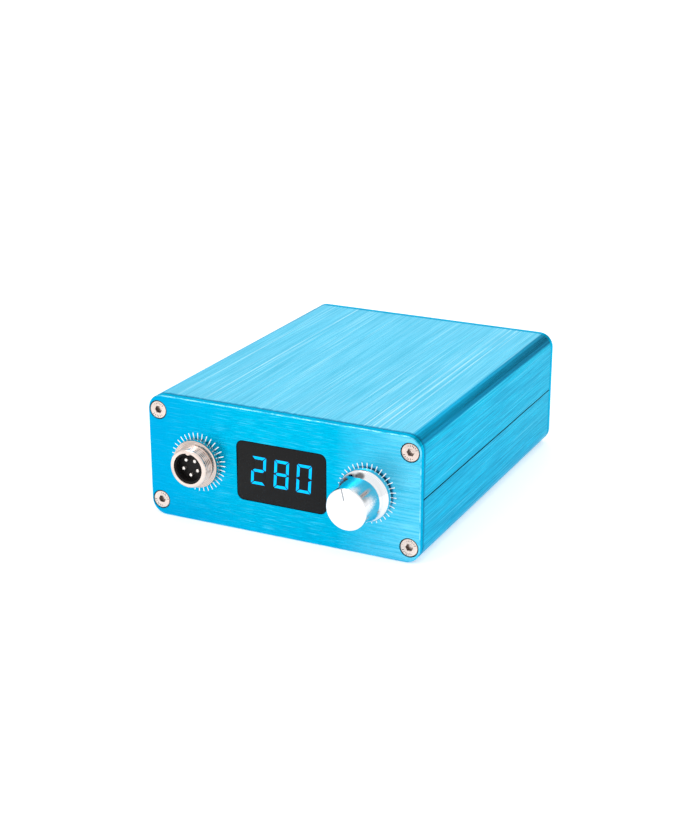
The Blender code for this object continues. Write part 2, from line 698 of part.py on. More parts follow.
def blank_panel(name, face, direction):
    """A panel with a fine chamfer round its outer face and four countersunk corner holes."""
    full = rounded_rectangle(CASE_WIDTH, CASE_HEIGHT, CORNER_RADIUS, CORNER_STEPS)
    inset = rounded_rectangle(CASE_WIDTH - 2 * PANEL_EDGE, CASE_HEIGHT - 2 * PANEL_EDGE,
                              CORNER_RADIUS - PANEL_EDGE, CORNER_STEPS)
    sections = [(face + direction * PANEL_THICKNESS, full), (face + direction * PANEL_EDGE, full)]
    sections.append((face, inset))
    panel = loft(name, sections, BLUE_PANEL)
    for x, z in corners():
        cut(panel, countersink((x, face, z), direction))
    return panel


def build_front_panel():
    panel = blank_panel("front_panel", FRONT, 1)
    before, behind = FRONT - PAST, FRONT + PANEL_THICKNESS + PAST
    pocket = rounded_rectangle(WINDOW_WIDTH + 2 * SLIM_FIT, WINDOW_HEIGHT + 2 * SLIM_FIT,
                               WINDOW_RADIUS + SLIM_FIT, 5)
    hole = rounded_rectangle(WINDOW_WIDTH - 2 * WINDOW_LEDGE, WINDOW_HEIGHT - 2 * WINDOW_LEDGE,
                             WINDOW_RADIUS / 2, 3)
    middle = (WINDOW_X, 0, 0)
    cut(panel, prism("tool", pocket, before, FRONT + WINDOW_THICKNESS + SLIM_FIT, BLACK, at=middle))
    cut(panel, prism("tool", hole, before, behind, BLACK, at=middle))
    cut(panel, rod(SOCKET_BARREL_RADIUS + FIT, before, behind, BLACK, (SOCKET_X, 0, 0), 24))
    cut(panel, rod(BUSH_RADIUS + FIT, before, behind, BLACK, (KNOB_X, 0, 0), 16))


def build_rear_panel():
    panel = blank_panel("rear_panel", BACK, -1)
    inside, outside = BACK - PANEL_THICKNESS - PAST, BACK + PAST
    opening = inlet_outline(INLET_WIDTH + 2 * FIT, INLET_HEIGHT + 2 * FIT, INLET_CORNER)
    cut(panel, prism("tool", opening, inside, outside, BLACK, at=(INLET_X, 0, 0)))
    for side in (-1, 1):
        x = INLET_X + side * INLET_SCREW_SPACING / 2
        cut(panel, rod(SCREW_HOLE_RADIUS, inside, outside, BLACK, (x, 0, 0), 16))
    opening = rectangle(SWITCH_WIDTH + 2 * FIT, SWITCH_HEIGHT + 2 * FIT)
    cut(panel, prism("tool", opening, inside, outside, BLACK, at=(SWITCH_X, 0, 0)))


# Heater socket

def build_socket():
    at = (SOCKET_X, 0, 0)
    edge = SOCKET_EDGE
    profile = [(SOCKET_BORE_RADIUS, SOCKET_RIM_Y), (SOCKET_BARREL_RADIUS - edge, SOCKET_RIM_Y)]
    profile += [(SOCKET_BARREL_RADIUS, SOCKET_RIM_Y + edge), (SOCKET_BARREL_RADIUS, SOCKET_FLANGE_FRONT)]
    profile += [(SOCKET_FLANGE_RADIUS - edge, SOCKET_FLANGE_FRONT)]
    profile += [(SOCKET_FLANGE_RADIUS, SOCKET_FLANGE_FRONT + edge)]
    profile += [(SOCKET_FLANGE_RADIUS, SOCKET_FLANGE_BACK)]
    profile += [(SOCKET_BARREL_RADIUS, SOCKET_FLANGE_BACK), (SOCKET_BARREL_RADIUS, SOCKET_BACK)]
    profile += [(SOCKET_REAR_BORE_RADIUS, SOCKET_BACK), (SOCKET_REAR_BORE_RADIUS, FRONT + FIT)]
    profile += [(SOCKET_BORE_RADIUS, FRONT + FIT)]
    shell = lathe("socket_shell", profile, NICKEL, at, SOCKET_SEGMENTS)
    key_at = (SOCKET_X, 0, SOCKET_BORE_RADIUS + edge)
    join(shell, rod(SOCKET_KEY_RADIUS, SOCKET_RIM_Y + edge, FRONT - FIT, NICKEL, key_at, 14))

    collar = SOCKET_BORE_RADIUS - SLIM_FIT
    hub = SOCKET_REAR_BORE_RADIUS - SLIM_FIT
    profile = [(0, INSERT_FLOOR_Y), (collar - INSERT_COLLAR, INSERT_FLOOR_Y)]
    profile += [(collar - INSERT_COLLAR, SOCKET_RIM_Y + INSERT_SUNK), (collar, SOCKET_RIM_Y + INSERT_SUNK)]
    profile += [(collar, FRONT), (hub, FRONT), (hub, SOCKET_BACK + FIT), (0, SOCKET_BACK + FIT)]
    insert = lathe("socket_insert", profile, BLACK, at, SOCKET_SEGMENTS)
    cut(insert, rod(SOCKET_KEY_RADIUS + SLIM_FIT, SOCKET_RIM_Y, FRONT + FIT, BLACK, key_at, 14))
    for number, (x, z) in enumerate(pin_places(), 1):
        cut(insert, rod(PIN_RADIUS + SLIM_FIT, SOCKET_RIM_Y, PIN_BACK, BLACK, (x, 0, z), 8))
        tip = INSERT_FLOOR_Y - PIN_REACH
        profile = [(0, tip), (PIN_TIP_RADIUS, tip + PIN_TIP_EDGE), (PIN_RADIUS, tip + PIN_RADIUS)]
        profile += [(PIN_RADIUS, SOCKET_BACK + 2 * FIT), (PIN_CUP_RADIUS, SOCKET_BACK + 2 * FIT)]
        profile += [(PIN_CUP_RADIUS, PIN_BACK), (0, PIN_BACK)]
        lathe(f"socket_pin_{number}", profile, BRASS, (x, 0, z), 10)

    build_lock_washer(at)
    nut_front = FRONT + PANEL_THICKNESS + SLIM_FIT
    nut = prism("socket_nut", hexagon(SOCKET_NUT_FLATS), nut_front, nut_front + SOCKET_NUT_THICKNESS,
                NICKEL, at=at)
    cut(nut, rod(SOCKET_BARREL_RADIUS + SLIM_FIT, FRONT, SOCKET_BACK, NICKEL, at, 24))


def pin_places():
    places = []
    for i in range(PIN_COUNT):
        angle = math.radians(360 * i / PIN_COUNT - 90)
        places.append((SOCKET_X + PIN_CIRCLE_RADIUS * math.cos(angle), PIN_CIRCLE_RADIUS * math.sin(angle)))
    return places


def build_lock_washer(at):
    """A ring with teeth round its outside, between the socket's flange and the panel."""
    outline = []
    pitch = 360 / LOCK_WASHER_TEETH
    for i in range(LOCK_WASHER_TEETH):
        for share, radius in ((0.0, LOCK_WASHER_RADIUS), (0.45, LOCK_WASHER_RADIUS),
                              (0.72, LOCK_WASHER_RADIUS - LOCK_WASHER_TOOTH)):
            angle = math.radians(pitch * (i + share))
            outline.append((radius * math.cos(angle), radius * math.sin(angle)))
    back = FRONT - SLIM_FIT
    washer = prism("socket_lock_washer", outline, back - LOCK_WASHER_THICKNESS, back, STEEL, at=at)
    cut(washer, rod(SOCKET_BARREL_RADIUS + SLIM_FIT, SOCKET_RIM_Y, SOCKET_BACK, STEEL, at, 24))


# Display and control board

def build_display():
    at = (WINDOW_X, 0, 0)
    outline = rounded_rectangle(WINDOW_WIDTH, WINDOW_HEIGHT, WINDOW_RADIUS, 5)
    prism("display_window", outline, FRONT, FRONT + WINDOW_THICKNESS, WINDOW, at=at)
    outline = rectangle(MODULE_WIDTH, MODULE_HEIGHT)
    module = prism("display_module", outline, MODULE_FRONT, MODULE_FRONT + MODULE_DEPTH, EPOXY, at=at)
    soften(module, MODULE_EDGE)


def build_control_board():
    middle = ((CONTROL_LEFT + CONTROL_RIGHT) / 2, 0, 0)
    outline = rounded_rectangle(CONTROL_RIGHT - CONTROL_LEFT, CONTROL_HEIGHT, CONTROL_CORNER, 2)
    board = prism("control_board", outline, CONTROL_FRONT, CONTROL_BACK, GREEN_BOARD, at=middle)
    for x, z in encoder_legs():
        cut(board, rod(ENCODER_LEG, CONTROL_FRONT - PAST, CONTROL_BACK + PAST, BLACK, (x, 0, z), 8))
    mount(board, MAIN_CHIP, MAIN_CHIP_X, BOARD_TOP + MAIN_CHIP_RISE)
    mount(board, SENSOR_CHIP, CONTROL_LEFT + SENSOR_CHIP_INSET, BOARD_TOP + SENSOR_CHIP_RISE)
    for row in range(2):
        mount(board, SMALL_CHIP, SMALL_CHIP_X, BOARD_TOP + SMALL_CHIP_RISE + row * SMALL_CHIP_PITCH)
    mount(board, CONNECTOR, CONTROL_LEFT + CONNECTOR_INSET, BOARD_TOP + CONNECTOR_RISE)
    mount(board, HEADER, HEADER_X, BOARD_TOP + FIT + HEADER[2] / 2)


def mount(board, size, x, z):
    """A plain part on the back of the control board."""
    join(board, box("tool", size, (x, CONTROL_BACK + size[1] / 2 - SUNK, z), BLACK))


def encoder_legs():
    row = ENCODER_HEIGHT / 2 - ENCODER_LEG
    legs = [(KNOB_X + side * ENCODER_LEG_PITCH, -row) for side in (-1, 0, 1)]
    return legs + [(KNOB_X + side * ENCODER_LEG_PITCH, row) for side in (-1, 1)]


# Knob and push encoder

def build_knob():
    at = (KNOB_X, KNOB_BACK, 0)
    flare_start = KNOB_SKIRT_HEIGHT + KNOB_SKIRT_RADIUS - KNOB_FLARE_RADIUS
    flare_end = flare_start + KNOB_FLARE_HEIGHT
    cavity = KNOB_BACK - (BUSH_FRONT - PUSH_TRAVEL - FIT)
    bore_end = KNOB_LENGTH - KNOB_BORE_END
    bore = SHAFT_RADIUS + SLIM_FIT
    profile = [(0, KNOB_LENGTH), (KNOB_RADIUS - KNOB_EDGE, KNOB_LENGTH)]
    profile += [(KNOB_RADIUS, KNOB_LENGTH - KNOB_EDGE)]
    profile += [(KNOB_RADIUS, flare_end), (KNOB_FLARE_RADIUS, flare_start)]
    profile += [(KNOB_SKIRT_RADIUS, KNOB_SKIRT_HEIGHT), (KNOB_SKIRT_RADIUS, 0), (KNOB_CAVITY_RADIUS, 0)]
    profile += [(KNOB_CAVITY_RADIUS, cavity), (bore, cavity), (bore, bore_end), (0, bore_end)]
    knob = lathe("knob", [(r, -y) for r, y in profile], POLISHED, at, KNOB_SEGMENTS)
    reach = KNOB_RADIUS + PAST - POINTER_INNER_RADIUS
    groove = rectangle(reach, POINTER_WIDTH, (POINTER_INNER_RADIUS + reach / 2, 0))
    tool = prism("tool", groove, -KNOB_LENGTH - PAST, POINTER_DEPTH - KNOB_LENGTH, BLACK, at=at)
    tool.rotation_euler = (0, -math.radians(POINTER_ANGLE), 0)
    cut(knob, tool)
    grub_y = (BUSH_FRONT + SHAFT_FRONT) / 2
    at = (KNOB_X, grub_y, 0)
    cut(knob, rod(GRUB_RADIUS + SLIM_FIT, -KNOB_RADIUS - PAST, 0, BLACK, at, 16, "Z"))

    grub_top = -SHAFT_FLAT - SLIM_FIT
    grub_end = grub_top - GRUB_LENGTH
    grub = rod(GRUB_RADIUS, grub_end, grub_top, DARK_STEEL, at, 16, "Z")
    grub.name = "knob_set_screw"
    cut(grub, prism("tool", hexagon(GRUB_HEX), grub_end - PAST, grub_end + GRUB_HEX_DEPTH, BLACK, "Z", at))


def build_encoder_shaft():
    at = (KNOB_X, SHAFT_FRONT, 0)
    length = SHAFT_SHOULDER - SHAFT_FRONT
    tail = SHAFT_END - SHAFT_FRONT
    profile = [(0, 0), (SHAFT_RADIUS - SHAFT_EDGE, 0), (SHAFT_RADIUS, SHAFT_EDGE), (SHAFT_RADIUS, length)]
    profile += [(SHAFT_TAIL_RADIUS, length), (SHAFT_TAIL_RADIUS, tail), (0, tail)]
    shaft = lathe("encoder_shaft", profile, STEEL, at)
    flat = rectangle(4 * SHAFT_RADIUS, SHAFT_RADIUS, (0, -SHAFT_FLAT - SHAFT_RADIUS / 2))
    cut(shaft, prism("tool", flat, -PAST, BUSH_FRONT - SHAFT_FRONT - FIT, STEEL, at=at))
    for side in (-1, 1):
        flat = rectangle(SHAFT_RADIUS, 4 * SHAFT_RADIUS, (side * (SHAFT_TAIL_FLATS + SHAFT_RADIUS) / 2, 0))
        cut(shaft, prism("tool", flat, length + RUNNING_FIT, tail + PAST, STEEL, at=at))


def build_encoder():
    at = (KNOB_X, 0, 0)
    bore = SHAFT_RADIUS + RUNNING_FIT
    outline = rectangle(ENCODER_WIDTH, ENCODER_HEIGHT)
    bush = prism("encoder_bush", outline, ENCODER_FRONT, COVER_BACK, NICKEL, at=at)
    join(bush, rod(BUSH_RADIUS, BUSH_FRONT, ENCODER_FRONT + SUNK, NICKEL, at, 24))
    cut(bush, rod(bore, BUSH_FRONT - PAST, COVER_BACK + PAST, NICKEL, at, 24))

    base = prism("encoder_base", outline, COVER_BACK + SLIM_FIT, ENCODER_BACK, BLACK, at=at)
    cut(base, rod(ENCODER_CAVITY_RADIUS, COVER_BACK - PAST, ENCODER_BACK - ENCODER_FLOOR, BLACK, at, 24))
    leg_end = CONTROL_BACK + ENCODER_LEG_END
    half = ENCODER_FLOOR / 2
    for x, z in encoder_legs():
        join(base, rod(ENCODER_LEG / 2, ENCODER_BACK - half, leg_end, BLACK, (x, 0, z), 6))

    rotor_back = ROTOR_FRONT + ROTOR_THICKNESS
    rotor_radius = ENCODER_CAVITY_RADIUS - ROTOR_GAP
    rotor = rod(rotor_radius, 0, ROTOR_THICKNESS, EPOXY, (KNOB_X, ROTOR_FRONT, 0), 24)
    rotor.name = "encoder_rotor"
    slot = rod(SHAFT_TAIL_RADIUS + SLIM_FIT, ROTOR_FRONT - PAST, rotor_back + PAST, EPOXY, at, 24)
    for side in (-1, 1):
        width = SHAFT_RADIUS
        middle = side * (SHAFT_TAIL_FLATS / 2 + SLIM_FIT + width / 2)
        flat = rectangle(width, 4 * SHAFT_RADIUS, (middle, 0))
        cut(slot, prism("tool", flat, ROTOR_FRONT - 2 * PAST, rotor_back + 2 * PAST, EPOXY, at=at))
    cut(rotor, slot)

    washer_back = FRONT - SLIM_FIT
    washer_front = washer_back - BUSH_WASHER_THICKNESS
    nut_back = washer_front - SLIM_FIT
    hole = BUSH_RADIUS + SLIM_FIT
    profile = [(hole, washer_front), (BUSH_WASHER_RADIUS, washer_front)]
    profile += [(BUSH_WASHER_RADIUS, washer_back), (hole, washer_back)]
    lathe("encoder_washer", profile, STEEL, at, 24)
    nut_front = nut_back - BUSH_NUT_THICKNESS
    nut = prism("encoder_nut", hexagon(BUSH_NUT_FLATS), nut_front, nut_back, NICKEL, at=at)
    cut(nut, rod(hole, nut_front - PAST, FRONT, NICKEL, at, 24))


# Mains inlet

def inlet_outline(width, height, corner):
    """Outline of the appliance inlet, with its two upper corners cut off."""
    x, z = width / 2, height / 2
    foot = INLET_FOOT_RADIUS
    points = arc((foot - x, foot - z), foot, 180, 270, 3)
    points += arc((x - foot, foot - z), foot, 270, 360, 3)
    points += [(x, z - corner), (x - corner, z), (corner - x, z), (-x, z - corner)]
    return points


def inlet_flange_outline():
    end = INLET_SCREW_SPACING / 2
    x = INLET_WIDTH / 2 + INLET_SHOULDER_LAP
    z = INLET_HEIGHT / 2 + INLET_FLANGE_LAP
    points = arc((end, 0), INLET_END_RADIUS, -60, 60, 8)
    points += [(x, z), (-x, z)]
    points += arc((-end, 0), INLET_END_RADIUS, 120, 240, 8)
    points += [(-x, -z), (x, -z)]
    return points


def blade_places():
    return [(-BLADE_SPREAD, -BLADE_RISE), (BLADE_SPREAD, -BLADE_RISE), (0, BLADE_RISE)]


def build_inlet():
    at = (INLET_X, 0, 0)
    housing = prism("inlet_housing", inlet_flange_outline(), BACK + SLIM_FIT, INLET_FACE, BLACK, at=at)
    body = inlet_outline(INLET_WIDTH, INLET_HEIGHT, INLET_CORNER)
    join(housing, prism("tool", body, INLET_BACK, BACK + INLET_FLANGE_THICKNESS / 2, BLACK, at=at))
    recess_width = INLET_WIDTH - 2 * INLET_SIDE_WALL
    recess = inlet_outline(recess_width, INLET_HEIGHT - 2 * INLET_TOP_WALL, INLET_CORNER)
    cut(housing, prism("tool", recess, INLET_FLOOR_TOP, INLET_FACE + PAST, BLACK, at=at))
    for side in (-1, 1):
        cut(housing, countersink((INLET_X + side * INLET_SCREW_SPACING / 2, INLET_FACE, 0), -1))
    tab_front = INLET_BACK - SLIM_FIT
    for number, (x, z) in enumerate(blade_places(), 1):
        place = (INLET_X + x, 0, z)
        slot = rectangle(BLADE_WIDTH + 2 * SLIM_FIT, BLADE_HEIGHT + 2 * SLIM_FIT)
        cut(housing, prism("tool", slot, INLET_BACK - PAST, INLET_FLOOR_TOP + PAST, BLACK, at=place))
        tip = INLET_FACE - BLADE_SUNK
        full = rectangle(BLADE_WIDTH, BLADE_HEIGHT)
        point = rectangle(BLADE_TIP_WIDTH, BLADE_TIP_HEIGHT)
        sections = [(tab_front - TAB_THICKNESS, full), (tip - BLADE_TIP_WIDTH, full), (tip, point)]
        blade = loft(f"inlet_blade_{number}", sections, BRASS, at=place)
        tab = rectangle(TAB_THICKNESS, TAB_HEIGHT)
        join(blade, prism("tool", tab, tab_front - TAB_LENGTH, tab_front, BRASS, at=place))


# Rocker switch

def build_switch():
    at = (SWITCH_X, 0, 0)
    bezel = rounded_rectangle(SWITCH_BEZEL_WIDTH, SWITCH_BEZEL_HEIGHT, SWITCH_BEZEL_RADIUS, 3)
    housing = prism("switch_housing", bezel, BACK + SLIM_FIT, SWITCH_FACE, BLACK, at=at)
    body = rectangle(SWITCH_WIDTH, SWITCH_HEIGHT)
    join(housing, prism("tool", body, SWITCH_BACK, BACK + SWITCH_BEZEL_THICKNESS / 2, BLACK, at=at))
    well = rectangle(ROCKER_WIDTH + 2 * FIT, 2 * (ROCKER_RADIUS + FIT))
    floor_top = SWITCH_BACK + SWITCH_FLOOR
    cut(housing, prism("tool", well, floor_top, SWITCH_FACE + PAST, BLACK, at=at))
    pivot = (SWITCH_X, ROCKER_PIVOT_Y, 0)
    pin_half = ROCKER_WIDTH / 2 + ROCKER_PIN_REACH
    cut(housing, rod(ROCKER_PIN_RADIUS + FIT, -pin_half - FIT, pin_half + FIT, BLACK, pivot, 16, "X"))
    for number, side in enumerate((-1, 1), 1):
        place = (SWITCH_X, 0, side * SWITCH_TAB_SPREAD)
        slot = rectangle(TAB_THICKNESS + 2 * SLIM_FIT, SWITCH_TAB_HEIGHT + 2 * SLIM_FIT)
        cut(housing, prism("tool", slot, SWITCH_BACK - PAST, floor_top + PAST, BLACK, at=place))
        tab = rectangle(TAB_THICKNESS, SWITCH_TAB_HEIGHT)
        prism(f"switch_terminal_{number}", tab, SWITCH_BACK - TAB_LENGTH, floor_top, BRASS, at=place)
    build_rocker(pivot, pin_half)


def build_rocker(pivot, pin_half):
    """A rocker with a shallow V face, ends turned about the pivot, and a stub pin on each side."""
    slope = math.tan(math.radians(ROCKER_TILT))
    a = 1 + slope ** 2
    b = 2 * ROCKER_CREST * slope
    c = ROCKER_CREST ** 2 - ROCKER_RADIUS ** 2
    end_z = (math.sqrt(b * b - 4 * a * c) - b) / (2 * a)
    face_angle = math.degrees(math.acos(end_z / ROCKER_RADIUS))
    end = [(y, z) for z, y in arc((0, 0), ROCKER_RADIUS, -5, face_angle, 6)]
    outline = end + [(ROCKER_CREST, 0)]
    outline += [(y, -z) for y, z in reversed(end)]
    outline += [(-ROCKER_HUB, -ROCKER_HUB), (-ROCKER_HUB, ROCKER_HUB)]
    rocker = prism("switch_rocker", outline, -ROCKER_WIDTH / 2, ROCKER_WIDTH / 2, BLACK, "X", pivot)
    join(rocker, rod(ROCKER_PIN_RADIUS, -pin_half, pin_half, BLACK, pivot, 16, "X"))
    rocker.rotation_euler = (math.radians(ROCKER_TILT), 0, 0)


# Power board and what stands on it

def terminal_block(board, ways, x, y, facing):
    """A screw terminal block on the board, with its wire holes facing along Y."""
    stand(board, (ways * BLOCK_PITCH, BLOCK_DEPTH, BLOCK_HEIGHT), x, y)
    face = y + facing * BLOCK_DEPTH / 2
    top = BOARD_TOP + BLOCK_HEIGHT
    for hole_x in block_holes(ways, x):
        ends = sorted((face - facing * BLOCK_HOLE_DEPTH, face + facing * PAST))
        at = (hole_x, 0, BOARD_TOP + BLOCK_HOLE_HEIGHT)
        cut(board, rod(BLOCK_HOLE_RADIUS, ends[0], ends[1], GREEN_BOARD, at, 8))
        at = (hole_x, y, 0)
        cut(board, rod(BLOCK_HOLE_RADIUS, top - BLOCK_SCREW_DEPTH, top + PAST, GREEN_BOARD, at, 8, "Z"))


def block_holes(ways, x):
    return [x + (i - (ways - 1) / 2) * BLOCK_PITCH for i in range(ways)]


def stand(board, size, x, y):
    """A plain part on top of the power board."""
    height = size[2] + SUNK
    middle = (x, y, BOARD_TOP - SUNK + height / 2)
    join(board, box("tool", (size[0], size[1], height), middle, BLACK))


def build_power_board():
    width = 2 * (INNER_X - FIT)
    size = (width, POWER_BACK - POWER_FRONT, BOARD_THICKNESS)
    middle = (0, (POWER_BACK + POWER_FRONT) / 2, BOARD_UNDERSIDE + BOARD_THICKNESS / 2)
    board = box("power_board", size, middle, GREEN_BOARD)
    terminal_block(board, 3, MAINS_BLOCK_X, MAINS_BLOCK_Y, 1)
    terminal_block(board, 2, HEATER_BLOCK_X, HEATER_BLOCK_Y, -1)
    clip = (2 * (FUSE_RADIUS + CLIP_WALL), CLIP_LENGTH, 2 * FUSE_RADIUS)
    for side in (-1, 1):
        stand(board, clip, FUSE_X, FUSE_Y + side * (FUSE_LENGTH - FUSE_CAP) / 2)
    fuse_half = FUSE_LENGTH / 2 + PAST
    at = (FUSE_X, 0, FUSE_Z)
    cut(board, rod(FUSE_RADIUS + SLIM_FIT, FUSE_Y - fuse_half, FUSE_Y + fuse_half, STEEL, at, 16))
    stand(board, FILTER_CAPACITOR, FILTER_X, FILTER_Y)
    stand(board, INDUCTOR, INDUCTOR_X, INDUCTOR_Y)
    stand(board, RECTIFIER, RECTIFIER_X, RECTIFIER_Y)
    stand(board, COUPLER, COUPLER_X, MAINS_BLOCK_Y)


def build_fuse():
    half = FUSE_LENGTH / 2
    tube = FUSE_RADIUS - FUSE_CAP_STEP
    profile = [(0, -half), (FUSE_RADIUS, -half), (FUSE_RADIUS, FUSE_CAP - half), (tube, FUSE_CAP - half)]
    profile += [(tube, half - FUSE_CAP), (FUSE_RADIUS, half - FUSE_CAP), (FUSE_RADIUS, half), (0, half)]
    lathe("fuse", profile, GLASS, (FUSE_X, FUSE_Y, FUSE_Z), 16)


def build_transformer():
    """A closed frame core with a middle leg, and a coil on a flanged bobbin round that leg."""
    at = (COIL_X, COIL_Y, BOARD_TOP + FIT)
    height = HEADROOM - CORE_HEADROOM
    core = box("transformer_core", (CORE_WIDTH, CORE_DEPTH, height), (0, 0, height / 2), FERRITE, at)
    window_width = (CORE_WIDTH - 2 * CORE_YOKE - CORE_LEG) / 2
    window_height = height - 2 * CORE_YOKE
    for side in (-1, 1):
        middle = (side * (CORE_LEG + window_width) / 2, height / 2)
        window = rectangle(window_width, window_height, middle)
        cut(core, prism("tool", window, -CORE_DEPTH, CORE_DEPTH, FERRITE, at=at))
    coil_width = CORE_WIDTH - 2 * CORE_YOKE - 2 * FIT
    coil_height = window_height - 2 * FIT
    low = CORE_YOKE + FIT
    winding = (coil_width - 2 * COIL_FLANGE, COIL_DEPTH - 2 * COIL_FLANGE, coil_height)
    coil = box("transformer_coil", winding, (0, 0, height / 2), TAPE, at)
    for z in (low + COIL_FLANGE / 2, low + coil_height - COIL_FLANGE / 2):
        join(coil, box("tool", (coil_width, COIL_DEPTH, COIL_FLANGE), (0, 0, z), TAPE, at))
    leg = (CORE_LEG + 2 * FIT, CORE_DEPTH + 2 * FIT, height)
    cut(coil, box("tool", leg, (0, 0, height / 2), TAPE, at))


def build_capacitor(name, radius, height, x, y):
    """An upright electrolytic can with a rolled groove and a rimmed top."""
    groove = CAN_GROOVE
    profile = [(0, 0), (radius, 0), (radius, CAN_GROOVE_HEIGHT - groove)]
    profile += [(radius - groove, CAN_GROOVE_HEIGHT), (radius, CAN_GROOVE_HEIGHT + groove)]
    profile += [(radius, height - groove), (radius - groove, height)]
    profile += [(radius - CAN_RIM, height), (radius - CAN_RIM - CAN_RIM_DEPTH, height - CAN_RIM_DEPTH)]
    profile += [(0, height - CAN_RIM_DEPTH)]
    lathe(name, profile, SLEEVE, (x, y, BOARD_TOP + FIT), 20, "Z")


def build_choke():
    """A ring core lying on the board, wound on two sides, so its section swells where wire lies."""
    shape = bmesh.new()
    around, across = 24, 6
    rings = []
    for i in range(around):
        angle = 2 * math.pi * i / around
        radius = CHOKE_SECTION_RADIUS
        if abs(math.cos(angle)) > 0.35:
            radius += CHOKE_WINDING + CHOKE_TURN * (i % 2)
        ring = []
        for j in range(across):
            turn = 2 * math.pi * (j + 0.5) / across
            out = CHOKE_RADIUS + radius * math.cos(turn)
            point = (out * math.cos(angle), out * math.sin(angle), radius * math.sin(turn))
            ring.append(shape.verts.new(point))
        rings.append(ring)
    for i in range(around):
        near, far = rings[i], rings[(i + 1) % around]
        for j in range(across):
            k = (j + 1) % across
            shape.faces.new((near[j], far[j], far[k], near[k]))
    height = BOARD_TOP + FIT + CHOKE_OUTER - CHOKE_RADIUS
    add("line_choke", shape, COPPER, (CHOKE_X, CHOKE_Y, height))


def build_heat_sink():
    """A comb of fins on a plate, standing on the board, with the power transistor on its flat side."""
    half = SINK_LENGTH / 2
    pitch = (SINK_LENGTH - SINK_FIN_THICKNESS) / (SINK_FINS - 1)
    tip = SINK_BASE + SINK_FIN_REACH
    outline = [(0, half), (0, -half)]
    for i in range(SINK_FINS):
        near = i * pitch - half
        far = near + SINK_FIN_THICKNESS
        if i > 0:
            outline.append((SINK_BASE, near))
        outline += [(tip, near), (tip, far)]
        if i < SINK_FINS - 1:
            outline.append((SINK_BASE, far))
    bottom = BOARD_TOP + FIT
    top = bottom + HEADROOM - SINK_HEADROOM
    prism("heat_sink", outline, bottom, top, BARE, "Z", (SINK_X, SINK_Y, 0))

    face_x = SINK_X - SLIM_FIT
    middle_x = face_x - TRANSISTOR_THICKNESS / 2
    body_bottom = bottom + TRANSISTOR_LIFT
    body_top = body_bottom + TRANSISTOR_HEIGHT
    size = (TRANSISTOR_THICKNESS, TRANSISTOR_WIDTH, TRANSISTOR_HEIGHT)
    middle = (middle_x, SINK_Y, (body_bottom + body_top) / 2)
    transistor = box("power_transistor", size, middle, BLACK)
    tab_x = face_x - TRANSISTOR_TAB_THICKNESS / 2
    tab_z = body_top + TRANSISTOR_TAB_HEIGHT / 2
    size = (TRANSISTOR_TAB_THICKNESS, TRANSISTOR_WIDTH, TRANSISTOR_TAB_HEIGHT + 2 * SUNK)
    join(transistor, box("tool", size, (tab_x, SINK_Y, tab_z), STEEL))
    screw_front = face_x - TRANSISTOR_TAB_THICKNESS - TRANSISTOR_SCREW_REACH
    at = (0, SINK_Y, tab_z)
    join(transistor, rod(TRANSISTOR_SCREW_RADIUS, screw_front, tab_x, STEEL, at, 10, "X"))
    size = (TRANSISTOR_LEG_THICKNESS, TRANSISTOR_LEG, TRANSISTOR_LIFT + SUNK)
    for side in (-1, 0, 1):
        middle = (middle_x, SINK_Y + side * TRANSISTOR_LEG_PITCH, bottom + size[2] / 2)
        join(transistor, box("tool", size, middle, STEEL))


# Leads between the pieces

